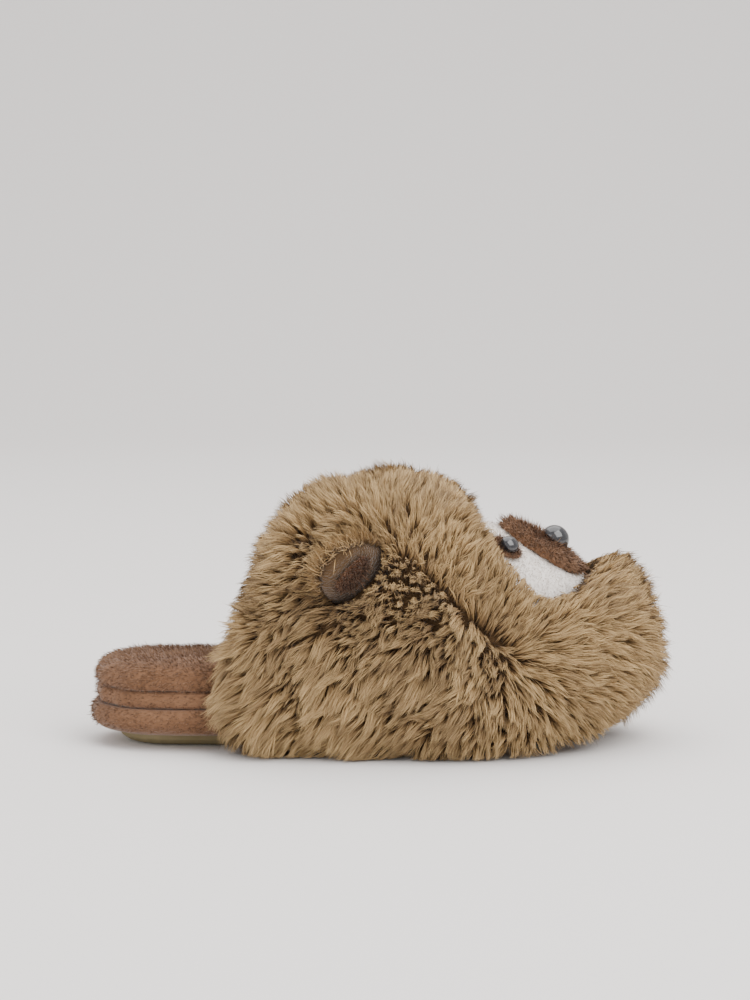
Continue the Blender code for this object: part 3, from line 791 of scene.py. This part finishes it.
@dataclass(frozen=True)
class HeadPlan:
    """Places of the face and ears on the head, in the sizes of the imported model."""

    face_at: float = 0.099
    face_height: float = 0.0962
    tilt: float = math.radians(33.0)
    back: float = 0.040
    front: float = 0.024
    half_width: float = 0.043
    face_bare: float = 0.97
    face_fade: float = 0.50
    ear_root: Color = (0.009, 0.038, 0.088)
    ear_run: Color = (0.67, 0.0, 0.74)
    ear_out: Color = (-0.42, 0.86, 0.30)
    ear_half_width: float = 0.019
    ear_half_depth: float = 0.0065
    parting_rear: Color = (0.029, 0.055, 0.100)
    parting_front: Color = (0.080, 0.070, 0.056)

    def face_frame(self) -> tuple[Array, Array, Array, Array]:
        """Origin, run to the toe, width and outward direction of the face.

        Returns:
            The four vectors.
        """
        along = np.array([math.cos(self.tilt), 0.0, -math.sin(self.tilt)])
        out = np.array([math.sin(self.tilt), 0.0, math.cos(self.tilt)])
        origin = np.array([self.face_at, float(LINE.axis(np.array(self.face_at))), self.face_height])
        return origin, along, np.array([0.0, 1.0, 0.0]), out

    def ear_frame(self, side: Side) -> tuple[Array, Array, Array, Array]:
        """Root, run, front and outward direction of an ear.

        Args:
            side: Which ear.

        Returns:
            The four vectors.
        """
        flip = np.array([1.0, side.value, 1.0])
        run = unit(np.array(self.ear_run))
        out = np.array(self.ear_out) * flip
        out = unit(out - run * np.dot(run, out))
        front = np.cross(run, out) * side.value
        front = front * (1.0 if front[0] > 0.0 else -1.0)
        return np.array(self.ear_root) * flip, run, front, out

    def bare(self, spots: Array) -> Array:
        """How far hairs are held back beside the face and the ears; 0 is bare.

        Args:
            spots: Places on the fur.

        Returns:
            A share for each place.
        """
        origin, along, across, out = self.face_frame()
        offset = spots - origin
        run = offset @ along
        length = np.where(run < 0.0, self.back, self.front)
        reach = np.hypot(run / length, (offset @ across) / self.half_width)
        share = np.where(offset @ out > -self.half_width,
                         ease((reach - self.face_bare) / self.face_fade), 1.0)
        for side in Side:
            origin, along, across, out = self.ear_frame(side)
            offset = spots - origin
            reach = np.hypot((offset @ along) / self.ear_half_width,
                             (offset @ across) / (2.0 * self.ear_half_depth))
            near = ease((reach - 0.85) / 0.4)
            share = np.where(offset @ out > 0.0, np.minimum(share, near), share)
        return share

    def run(self, spots: Array) -> Array:
        """Direction in which the fur lies: away from the parting on each side.

        Args:
            spots: Places on the fur.

        Returns:
            A unit vector for each place.
        """
        sign = np.where(spots[:, 1:2] < 0.0, -1.0, 1.0)
        flip = np.concatenate([np.ones_like(sign), sign, np.ones_like(sign)], 1)
        rear = np.array(self.parting_rear) * flip
        front = np.array(self.parting_front) * flip
        line = front - rear
        share = np.clip(dot(spots - rear, line) / dot(line, line), 0.0, 1.0)
        return unit(spots - rear - line * share)


HEAD = HeadPlan()


@dataclass
class HeadFur:
    """The long fur of the upper, in four pieces, and the skin under it, a dark sheet of painted shade."""

    shell: Shell
    strands: int = 132_000
    per_tuft: int = 6
    lock_size: float = 0.0042
    root_share: float = 0.42
    shade_sheet_share: float = 0.52
    lean: float = 0.0100
    width: float = 0.00042
    guard_share: float = 0.06
    guard_width: float = 0.55
    lock_reach: tuple[float, float] = (0.78, 1.03)
    hair_reach: tuple[float, float] = (0.78, 1.12)
    guard_reach: tuple[float, float] = (0.08, 0.22)
    lock_swing: float = 0.24
    scatter: float = 0.00075
    stray: float = 0.10
    tuft_pull: float = 0.75
    lock_pull: float = 0.58
    guard_pull: float = 0.15
    bend: float = 0.0004
    matted_bend: float = 0.0009
    roll: float = 0.55
    floor: float = 0.0008
    steps: int = 4
    seed: int = 21
    names: tuple[str, ...] = ("fur_back", "fur_side", "fur_cheek", "fur_toe")

    def build(self) -> list[bpy.types.Object]:
        """Make the skin, a dark sheet of painted shade, and the four pieces of fur.

        Returns:
            The pieces.
        """
        made = [self._painted_shade_skin(), self._lining()]
        hairs, order = self._hairs()
        edges = np.quantile(order, np.linspace(0.0, 1.0, len(self.names) + 1))
        for k, name in enumerate(self.names):
            inside = (order >= edges[k]) & (order < edges[k + 1] + (k == len(self.names) - 1))
            part = Hairs(hairs.paths[inside], hairs.facing[inside], hairs.width[inside],
                         hairs.tone[inside])
            obj = link(name, part.mesh(name), MATERIALS["fur"])
            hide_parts("upper")
            made.append(obj)
        return made

    def _painted_shade_skin(self) -> bpy.types.Object:
        """The dark ground of the fur, a sheet of painted shade inside the pile, from the hem to the
        spine.

        Returns:
            The piece.
        """
        # A dark sheet of painted shade, inside the fur a little above the hair roots.
        points = self.shell.skin(self.shade_sheet_share)
        spots = points.reshape(-1, 3)
        bare = HEAD.bare(spots).reshape(points.shape[:2])[..., None]
        low = self.shell.skin(0.02)
        points = low + (points - low) * (0.1 + 0.9 * bare)
        return link("fur_ground", grid_mesh("fur_ground", points), MATERIALS["under_fur"])

    def _lining(self) -> bpy.types.Object:
        """Inner face of the upper and its bound edge at the collar.

        Returns:
            The piece.
        """
        inner = self.shell.inner[:, self.shell.side_rows - 3:]
        first = self._binding(inner[0], inner[1])
        last = self._binding(inner[-1], inner[-2])
        points = np.concatenate([first[::-1], inner, last])
        obj = link("upper_lining", grid_mesh("upper_lining", points), MATERIALS["lining"])
        thick = obj.modifiers.new("fabric", "SOLIDIFY")
        thick.thickness = 0.0012
        thick.offset = 1.0
        return obj

    def _binding(self, edge: Array, nearby: Array) -> Array:
        """Rows of a roll along the collar edge, turned back over the fabric.

        Args:
            edge: The edge's points.
            nearby: The next column inside.

        Returns:
            The rows of points.
        """
        back = unit(edge - nearby)
        out = unit(np.cross(np.gradient(edge, axis=0), back))
        out = out * np.sign(dot(out, edge - np.array([0.0, 0.0, 0.03])))
        rows = []
        for turn in np.radians([0.0, 40.0, 80.0, 120.0, 160.0, 190.0]):
            shift = back * math.sin(turn) + out * (1.0 - math.cos(turn))
            rows.append(edge + shift * 0.0024 + back * 0.0012)
        return np.array(rows)

    def _hairs(self) -> tuple[Hairs, Array]:
        """Grow every hair of the upper.

        Returns:
            The hairs, and the value by which they are shared out among the pieces.
        """
        draw = np.random.default_rng(self.seed)
        tufts = self.strands // self.per_tuft
        column, row = self._spread(draw, tufts)
        base, out, depth = (self._sample(grid, column, row)
                            for grid in (self.shell.fabric, self.shell.out, self.shell.depth))
        out = unit(out)
        spots = base + out * depth * 0.6
        bare = HEAD.bare(spots)
        keep = bare > 0.08
        base, out, depth, spots, bare = (a[keep] for a in (base, out, depth, spots, bare))
        tufts = len(base)
        run = self._flow(spots, out)
        lock = self._locks(spots)
        locks = lock.max() + 1
        reach = draw.uniform(*self.lock_reach, locks)[lock]
        swing = draw.normal(0.0, self.lock_swing, locks)[lock]
        side = np.cross(out, run)
        run = unit(run + side * swing[:, None])
        centre = np.stack([np.bincount(lock, spots[:, k], locks) for k in range(3)], -1)
        centre = (centre / np.bincount(lock, minlength=locks)[:, None])[lock]
        matted = self._matted(spots)
        lean = self.lean * (0.85 + 0.30 * Waves(0.035, 3).at(spots)) * (1.0 - 0.45 * matted)
        lean = lean * self._combed(spots)
        height = depth[:, 0] * (1.0 - self.root_share) * reach
        tone = self._tone_and_painted_shade(spots, lock, locks, draw)
        # hairs of each tuft
        n = tufts * self.per_tuft
        own = np.repeat(np.arange(tufts), self.per_tuft)
        scatter = draw.normal(0.0, self.scatter, (n, 3))
        root = (base + out * depth * self.root_share)[own] + scatter
        guard = draw.random(n) < self.guard_share
        long = draw.uniform(*self.hair_reach, n) + guard * draw.uniform(*self.guard_reach, n)
        t = np.linspace(0.0, 1.0, self.steps)[None, :, None]
        rise = (height * bare)[own] * long
        slide = (lean * bare)[own] * long
        stray = unit(draw.normal(size=(n, 3))) * self.stray
        lay = unit(run[own] + stray)
        paths = root[:, None] + out[own][:, None] * rise[:, None,
                                                         None] * np.sin(t * math.pi / 2.0) ** 0.9
        paths = paths + lay[:, None] * slide[:, None, None] * t ** 1.7
        # each hair is drawn to the middle of its tuft, and each tuft to its lock
        to_tuft = -scatter[:, None] * self.tuft_pull * t
        to_lock = (centre - spots)[own]
        to_lock = to_lock - out[own] * dot(to_lock, out[own])
        pull = np.where(guard, self.guard_pull, self.lock_pull)[:, None, None]
        paths = paths + to_tuft + to_lock[:, None] * pull * t ** 1.4
        curl = draw.uniform(0.0, 2.0 * math.pi, n)[:, None, None] + t * 5.0
        bend = np.cross(out[own], lay)[:, None] * np.sin(curl)
        paths = paths + bend * (self.bend + self.matted_bend * matted[own])[:, None, None] * t
        paths[..., 2] = np.maximum(paths[..., 2], self.floor)
        roll = draw.normal(0.0, self.roll, n)[:, None]
        facing = unit(out[own] + np.cross(out[own], lay) * roll)
        width = self.width * draw.uniform(0.75, 1.25, n) * np.where(guard, self.guard_width, 1.0)
        shade = np.clip(tone[own] + draw.normal(0.0, 0.10, n), 0.16, 1.0)
        shade = np.where(guard, draw.uniform(0.0, 0.15, n), shade)
        order = root[:, 0] - 0.35 * root[:, 2]
        return Hairs(paths, facing, width, shade), order

    def _spread(self, draw: np.random.Generator, count: int) -> tuple[Array, Array]:
        """Random places on the shell's grid, even by area.

        Args:
            draw: Source of the random numbers.
            count: How many places.

        Returns:
            Their column and row, as decimals.
        """
        grid = self.shell.skin(0.6)
        first = grid[1:, :-1] - grid[:-1, :-1]
        second = grid[:-1, 1:] - grid[:-1, :-1]
        area = np.linalg.norm(np.cross(first, second), axis=-1)
        cells = draw.choice(area.size, size=count, p=(area / area.sum()).ravel())
        column, row = np.divmod(cells, area.shape[1])
        return column + draw.random(count), row + draw.random(count)

    @staticmethod
    def _sample(grid: Array, column: Array, row: Array) -> Array:
        """Values of a grid at decimal columns and rows.

        Args:
            grid: The grid.
            column: Decimal columns.
            row: Decimal rows.

        Returns:
            The blended values.
        """
        i = np.minimum(column.astype(int), grid.shape[0] - 2)
        j = np.minimum(row.astype(int), grid.shape[1] - 2)
        a = (column - i)[:, None]
        b = (row - j)[:, None]
        low = grid[i, j] * (1 - a) + grid[i + 1, j] * a
        high = grid[i, j + 1] * (1 - a) + grid[i + 1, j + 1] * a
        return low * (1 - b) + high * b

    @staticmethod
    def _flow(spots: Array, out: Array) -> Array:
        """Lay of the fur along the surface, with slow swirls.

        Args:
            spots: Places on the fur.
            out: Outward directions there.

        Returns:
            A unit vector for each place.
        """
        run = HEAD.run(spots)
        run = unit(run - out * dot(run, out))
        swirl = 0.42 * Waves(0.055, 14).at(spots) + 0.25 * Waves(0.021, 15).at(spots)
        turned = run * np.cos(swirl)[:, None] + np.cross(out, run) * np.sin(swirl)[:, None]
        return unit(turned)

    def _locks(self, spots: Array) -> Array:
        """Share the tufts out among locks, by warped cells of space.

        Args:
            spots: Place of each tuft.

        Returns:
            The number of the lock that each tuft belongs to.
        """
        warp = np.stack([Waves(0.012, 31 + k).at(spots) for k in range(3)], -1) * 0.0016
        cell = np.floor((spots + warp) / self.lock_size).astype(np.int64)
        key = (cell[:, 0] * 4001 + cell[:, 1]) * 4001 + cell[:, 2]
        return np.unique(key, return_inverse=True)[1].ravel()

    @staticmethod
    def _matted(spots: Array) -> Array:
        """How short and curled the fur is: most behind the ears, low on the crown."""
        gap = np.hypot(spots[:, 0] - 0.028, spots[:, 2] - 0.088)
        return ease(1.0 - (gap - 0.012) / 0.022)

    @staticmethod
    def _combed(spots: Array) -> Array:
        """How far the fur is combed down: most low at the rear of each side.

        Args:
            spots: Places on the fur.

        Returns:
            A factor for each place.
        """
        low = ease((0.085 - spots[:, 2]) / 0.05)
        rear = ease((0.075 - spots[:, 0]) / 0.06)
        return 1.0 + 0.45 * low * rear

    @staticmethod
    def _tone_and_painted_shade(spots: Array, lock: Array, locks: int, draw: np.random.Generator) -> Array:
        """How light each tuft is, with painted shade: golden above and at the toe, a darker taupe band
        along the middle.

        Args:
            spots: Place of each tuft.
            lock: Its lock.
            locks: How many locks there are.
            draw: Source of the random numbers.

        Returns:
            A tone for each tuft.
        """
        x, z = spots[:, 0], spots[:, 2]
        tone = 0.66 + 0.10 * Waves(0.040, 44).at(spots) + 0.06 * Waves(0.013, 45).at(spots)
        # Painted shade: a darker band along the middle of each side, strongest at the rear and gone
        # towards the toe.
        band = np.exp(-(((z - 0.060 + 0.30 * (x - 0.03)) / 0.020) ** 2)) * ease((0.085 - x) / 0.05)
        tone = tone - 0.26 * band
        return tone + draw.normal(0.0, 0.11, locks)[lock]


@dataclass(frozen=True)
class Pile:
    """Short hairs over a piece: how many, how long, and how they lie."""

    count: int
    length: float
    width: float
    lean: float
    tone: float = 0.5
    spread: float = 0.2
    stray: float = 0.35
    steps: int = 3
    seed: int = 3

    def grow(self, name: str, base: bpy.types.Object, finish: str, slot: str,
             nap: Callable[[Array], Array], keep: Callable[[Array, Array], Array]) -> bpy.types.Object:
        """Grow the pile on a piece.

        Args:
            name: Name of the new piece.
            base: The piece that carries the hairs.
            finish: Key of their material.
            slot: Not used.
            nap: Takes points and gives the direction in which the pile lies.
            keep: Takes points and normals and says which places are covered.

        Returns:
            The pile as one piece.
        """
        draw = np.random.default_rng(self.seed)
        places, normals = surface_points(base, self.count, draw)
        kept = keep(places, normals)
        places, normals = places[kept], normals[kept]
        count = len(places)
        lay = nap(places)
        lay = lay - normals * dot(lay, normals)
        lay = unit(lay + draw.normal(0.0, self.stray, (count, 3)))
        size = self.length * draw.uniform(0.6, 1.2, count)[:, None, None]
        t = np.linspace(0.0, 1.0, self.steps)[None, :, None]
        paths = places[:, None] - normals[:, None] * 0.0002
        paths = paths + normals[:, None] * size * t * (1.0 - 0.3 * self.lean * t)
        paths = paths + lay[:, None] * size * self.lean * t ** 1.5
        facing = unit(normals + draw.normal(0.0, 0.4, (count, 3)))
        patch = Waves(0.012, self.seed + 50).at(places)
        tone = np.clip(self.tone + self.spread * patch + draw.normal(0.0, 0.12, count), 0.0, 1.0)
        hairs = Hairs(paths, facing, np.full(count, self.width), tone)
        return link(name, hairs.mesh(name), MATERIALS[finish])


def surface_points(obj: bpy.types.Object, count: int, draw: np.random.Generator) -> tuple[Array, Array]:
    """Random points of a piece, even by area, with its smooth normals.

    Args:
        obj: The piece, with its modifiers.
        count: How many points.
        draw: Source of the random numbers.

    Returns:
        The points and the normals.
    """
    mesh = obj.evaluated_get(bpy.context.evaluated_depsgraph_get()).to_mesh()
    mesh.calc_loop_triangles()
    corners = np.zeros(len(mesh.loop_triangles) * 3, np.int32)
    mesh.loop_triangles.foreach_get("vertices", corners)
    corners = corners.reshape(-1, 3)
    points = np.zeros(len(mesh.vertices) * 3, np.float32)
    normals = np.zeros(len(mesh.vertices) * 3, np.float32)
    mesh.vertices.foreach_get("co", points)
    mesh.vertices.foreach_get("normal", normals)
    points = points.reshape(-1, 3).astype(float)
    normals = normals.reshape(-1, 3).astype(float)
    a, b, c = (points[corners[:, k]] for k in range(3))
    area = np.linalg.norm(np.cross(b - a, c - a), axis=1)
    chosen = draw.choice(len(area), size=count, p=area / area.sum())
    weight = draw.dirichlet((1.0, 1.0, 1.0), count)
    places = np.einsum("nk,nkj->nj", weight, points[corners[chosen]])
    lean = np.einsum("nk,nkj->nj", weight, normals[corners[chosen]])
    return places, unit(lean)


def soft_copy(node: str, name: str, material: str, voxel: float, smooth: int = 6,
              swell: float = 0.0) -> bpy.types.Object:
    """A soft, even mesh in the form of a solid, which it stands for.

    Args:
        node: The solid.
        name: Name of the new piece.
        material: Key of its material.
        voxel: Size of the new mesh's faces.
        smooth: Rounds of smoothing.
        swell: How far slow swells raise and lower the surface.

    Returns:
        The piece.
    """
    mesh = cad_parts[node].data.copy()
    mesh.name = name
    work = bmesh.new()
    work.from_mesh(mesh)
    bmesh.ops.remove_doubles(work, verts=work.verts[:], dist=1e-6)
    work.to_mesh(mesh)
    work.free()
    obj = link(name, mesh, MATERIALS[material])
    remesh = obj.modifiers.new("even", "REMESH")
    remesh.mode = "VOXEL"
    remesh.voxel_size = voxel
    remesh.use_smooth_shade = True
    rounds = obj.modifiers.new("soft", "SMOOTH")
    rounds.factor = 0.5
    rounds.iterations = smooth
    graph = bpy.context.evaluated_depsgraph_get()
    made = bpy.data.meshes.new_from_object(obj.evaluated_get(graph))
    obj.modifiers.clear()
    obj.data = made
    made.name = name
    made.materials.clear()
    made.materials.append(MATERIALS[material])
    points = np.array([v.co for v in made.vertices])
    normals = np.array([v.normal for v in made.vertices])
    points = points + normals * (Waves(0.009, 61).at(points) * swell)[:, None]
    made.vertices.foreach_set("co", points.astype(np.float32).ravel())
    made.shade_smooth()
    made.update()
    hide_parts(node)
    return obj


@dataclass
class Face:
    """White face, muzzle, nose, eye patches and eyes."""

    lean: float = 0.75

    def build(self) -> list[bpy.types.Object]:
        """Make and dress every piece of the face.

        Returns:
            The pieces.
        """
        origin, along, across, out = HEAD.face_frame()

        def forward(places: Array) -> Array:
            """Nap of the face, away from its middle."""
            return unit(places - origin + 1e-6) + along * 0.3

        def outside(places: Array, normals: Array) -> Array:
            """The upper face of a piece that lies on the head."""
            return normals @ out > -0.1

        panel = soft_copy("face_panel", "face_plush", "face", 0.0012, 4, 0.0003)
        muzzle = soft_copy("muzzle", "muzzle_plush", "plush", 0.0008, 5, 0.0004)
        made = [panel, muzzle]
        pile = Pile(16000, 0.0016, 0.00030, 0.8, 0.6, seed=5)
        made.append(pile.grow("face_pile", panel, "face_hair", "face", forward, outside))
        pile = Pile(9000, 0.0034, 0.00032, 0.9, 0.55, seed=6)
        made.append(pile.grow("muzzle_pile", muzzle, "plush_hair", "plush", forward, outside))
        made.append(self._dome("nose", "nose_gloss", out))
        for side, word in ((Side.LATERAL, "right"), (Side.MEDIAL, "left")):
            lean = unit(out + across * (self.lean * side.value))
            patch = soft_copy("eye_patch_" + word, "eye_patch_plush_" + word, "plush",
                              0.0006, 3)
            made.append(patch)
            pile = Pile(2600, 0.0026, 0.00028, 0.9, 0.7, seed=7)
            made.append(pile.grow("eye_patch_pile_" + word, patch, "plush_hair", "plush", forward,
                                  outside))
            made.append(self._dome("eye_" + word, "eye_gloss_" + word, lean))
        return made

    def _dome(self, node: str, name: str, lean: Array, around: int = 40,
              rings: int = 14) -> bpy.types.Object:
        """A smooth glossy dome in the place of a solid one.

        Args:
            node: The solid.
            name: Name of the new piece.
            lean: The direction that the dome faces.
            around: Points round it.
            rings: Rings up it.

        Returns:
            The piece.
        """
        points = np.array([v.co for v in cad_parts[node].data.vertices])
        heights = points @ lean
        low, high = heights.min(), heights.max()
        first = unit(np.cross(lean, [0.3, 1.0, 0.2]))
        second = np.cross(lean, first)
        middle = sum(a * (float((points @ a).min()) + float((points @ a).max())) / 2.0
                     for a in (first, second))
        radius = float((points @ first).max() - (points @ first).min()) / 2.0
        turn = np.linspace(0.0, 2.0 * math.pi, around, endpoint=False)
        rows = []
        for angle in np.append(0.0, np.linspace(0.0, math.pi / 2.0, rings)):
            share = 0.0 if len(rows) == 0 else math.cos(angle)
            rise = low if len(rows) < 2 else low + (high - low) * (0.12 + 0.88 * math.sin(angle))
            ring = middle + lean * rise
            rows.append(ring + radius * share * (np.outer(np.cos(turn),
                                                          first) + np.outer(np.sin(turn), second)))
        mesh = grid_mesh(name, np.stack(rows, axis=1), closed=True)
        obj = link(name, mesh, MATERIALS["gloss"])
        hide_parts(node)
        return obj


@dataclass
class Ears:
    """Two fur-backed ears with dark plush inside."""

    hairs: int = 4200

    def build(self) -> list[bpy.types.Object]:
        """Make both ears.

        Returns:
            The pieces.
        """
        made = []
        for side, word in ((Side.LATERAL, "right"), (Side.MEDIAL, "left")):
            _, _, front, out = HEAD.ear_frame(side)

            def nap(places: Array, out: Array = out) -> Array:
                """Pile lies towards the ear's tip."""
                return np.broadcast_to(out, places.shape)

            def behind(places: Array, normals: Array, front: Array = front) -> Array:
                """The back and the rim of the ear."""
                return normals @ front < 0.45

            def whole(places: Array, normals: Array, front: Array = front) -> Array:
                """The front of the lining."""
                return normals @ front > 0.0

            # The ear's body takes the dark under-fur brown, painted shade beneath the ear's fur.
            ear = soft_copy("ear_" + word, "ear_ground_" + word, "under_fur", 0.0012, 4)
            lining = soft_copy("ear_lining_" + word, "ear_plush_" + word, "ear_plush",
                               0.0008, 3)
            pile = Pile(self.hairs, 0.0092, 0.00042, 0.9, 0.62, 0.1, 0.3, 4, seed=9)
            made += [ear, lining, pile.grow("ear_fur_" + word, ear, "fur", "fur", nap, behind)]
            pile = Pile(1500, 0.0036, 0.00035, 0.7, 0.25, seed=10)
            made.append(pile.grow("ear_pile_" + word, lining, "plush_hair", "lining", nap, whole))
        return made


@dataclass
class Sole:
    """Outsole with its rubber, and the three plush layers over it."""

    pile: Pile = Pile(46000, 0.0024, 0.00034, 0.85, 0.45, 0.28, 0.3, seed=12)

    def build(self) -> list[bpy.types.Object]:
        """Make the layers and their pile.

        Returns:
            The pieces.
        """
        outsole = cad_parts["outsole"]
        for slot in outsole.material_slots:
            slot.material = MATERIALS["rubber"]
        lower = SoleLayer("lower_midsole", 0.0065, 0.0146, 0.0, 0.013,
                          [(0.0, 1.0), (0.06, 0.62), (0.22, 0.26), (0.45, 0.06), (0.70, 0.0),
                           (0.90, 0.06), (1.0, 0.22)])
        band = SoleLayer("middle_band", 0.0214, 0.0086, 0.0, 0.0022,
                         [(0.0, 2.1), (0.15, 1.35), (0.5, 1.0), (0.85, 1.35), (1.0, 2.1)])
        creases = [Crease(-0.0732, Side.LATERAL, 0.0016, 0.0016, 0.08),
                   Crease(-0.0560, Side.LATERAL, 0.0006, 0.0030, 0.20),
                   Crease(-0.0700, Side.MEDIAL, 0.0010, 0.0020, 0.10)]
        footbed = SoleLayer("footbed", 0.0303, 0.0145, 0.0020, 0.017,
                            [(0.0, 0.14), (0.1, 0.04), (0.25, 0.0), (0.5, 0.05), (0.74, 0.22),
                             (0.9, 0.5), (1.0, 1.0)],
                            creases)
        made = []
        for layer, share in ((lower, 0.6), (band, 0.35), (footbed, 1.0)):
            obj = layer.build()
            made.append(obj)
            pile = replace(self.pile, count=int(self.pile.count * share))
            made.append(pile.grow(layer.name + "_pile", obj, "plush_hair", "plush", self._nap,
                                  self._open))
        return made

    @staticmethod
    def _nap(places: Array) -> Array:
        """The pile is brushed towards the heel and down.

        Args:
            places: Places on a layer.

        Returns:
            A direction for each place.
        """
        lay = np.zeros_like(places)
        lay[:, 0] = -1.0
        lay[:, 2] = -0.35
        lay[:, 1] = 0.5 * Waves(0.03, 71).at(places)
        return lay

    @staticmethod
    def _open(places: Array, normals: Array) -> Array:
        """Places that the upper and the neighbouring layers leave open.

        Args:
            places: Places on a layer.
            normals: Its normals there.

        Returns:
            Whether each place is open.
        """
        inside = (places[:, 0] < 0.03) & (normals[:, 2] > 0.5) & (places[:, 2] > 0.040)
        behind = (places[:, 0] < -0.012) & (normals[:, 2] > -0.75)
        covered = (np.abs(normals[:, 2]) > 0.9) & (places[:, 2] < 0.040)
        return (inside | behind) & ~covered


@dataclass
class Studio:
    """Seamless pale floor and backdrop, soft lights and the camera."""

    camera_place: Color = (0.0135, -1.3995, 0.2873)
    camera_pitch: float = math.radians(83.3)
    lens: float = 100.0
    floor_color: Color = (0.80, 0.775, 0.76)

    def aim(self) -> None:
        """Make the camera at the photograph's angle."""
        camera = bpy.data.cameras.new("camera")
        camera.lens = self.lens
        camera.sensor_width = 36.0
        camera.sensor_fit = "AUTO"
        obj = bpy.data.objects.new("camera", camera)
        obj.location = self.camera_place
        obj.rotation_euler = (self.camera_pitch, 0.0, 0.0)
        bpy.context.scene.collection.objects.link(obj)
        bpy.context.scene.camera = obj

    def build(self) -> None:
        """Make the floor, the lights and the sky."""
        self._floor()
        self._light("key", (0.9, -0.9, 1.5), 1.6, 42.0, (1.0, 0.985, 0.97))
        self._light("top", (0.0, 0.5, 1.9), 2.2, 38.0, (1.0, 0.99, 0.985))
        self._light("fill", (-1.5, -1.2, 0.9), 1.6, 14.0, (0.97, 0.98, 1.0))
        world = bpy.data.worlds.new("studio")
        world.use_nodes = True
        world.node_tree.nodes["Background"].inputs["Color"].default_value = (1.0, 0.985, 0.975, 1.0)
        world.node_tree.nodes["Background"].inputs["Strength"].default_value = 1.0
        bpy.context.scene.world = world

    def _floor(self) -> None:
        """A floor that curves up into the backdrop."""
        rows = [(-3.0, 0.0), (1.6, 0.0)]
        rows += [(1.6 + 1.2 * math.sin(a), 1.2 - 1.2 * math.cos(a)) for a in np.linspace(0.1,
                                                                                         math.pi / 2, 14)]
        rows.append((2.8, 5.0))
        points = np.array([[(x, y, z) for y, z in rows] for x in (-4.0, 4.0)])
        mesh = grid_mesh("studio_floor", points)
        shader = Shader("studio_floor", Roughness=0.9, Specular_IOR_Level=0.1)
        shader.shader.inputs["Base Color"].default_value = (*self.floor_color, 1.0)
        mesh.materials.append(shader.material)
        obj = bpy.data.objects.new("studio_floor", mesh)
        bpy.context.scene.collection.objects.link(obj)

    @staticmethod
    def _light(name: str, place: Color, size: float, power: float, color: Color) -> None:
        """A square soft light that points at the shoe.

        Args:
            name: Name of the light.
            place: Where it stands.
            size: Its side.
            power: Its power.
            color: Its colour.
        """
        lamp = bpy.data.lights.new(name, "AREA")
        lamp.size = size
        lamp.energy = power
        lamp.color = color
        obj = bpy.data.objects.new(name, lamp)
        obj.location = place
        obj.rotation_mode = "QUATERNION"
        obj.rotation_quaternion = (Vector((0.02, 0.0, 0.06)) - Vector(place)).to_track_quat("-Z", "Y")
        bpy.context.scene.collection.objects.link(obj)


MATERIALS = {
    "fur": FUR.build(),
    "under_fur": PAINTED_SHADE_UNDER_FUR.build(),
    "plush": PLUSH.build(),
    "plush_hair": PLUSH_HAIR.build(),
    "face": FACE.build(),
    "face_hair": FACE_HAIR.build(),
    "lining": LINING.build(),
    "ear_plush": EAR_PLUSH.build(),
    "gloss": GLOSS.build(),
    "rubber": RUBBER.build(),
}


def main() -> None:
    """Build the studio and the slipper, piece by piece."""
    logging.basicConfig(level=logging.INFO, format="%(message)s")
    studio = Studio()
    studio.aim()
    made = Sole().build()
    made += HeadFur(Shell()).build()
    made += Face().build()
    made += Ears().build()
    studio.build()
    total = 0
    for obj in made:
        faces = sum(len(p.vertices) - 2 for p in obj.data.polygons)
        total += faces
        LOG.info("%s: %d triangles", obj.name, faces)
    LOG.info("all: %d triangles", total)


if __name__ == "__main__":
    main()
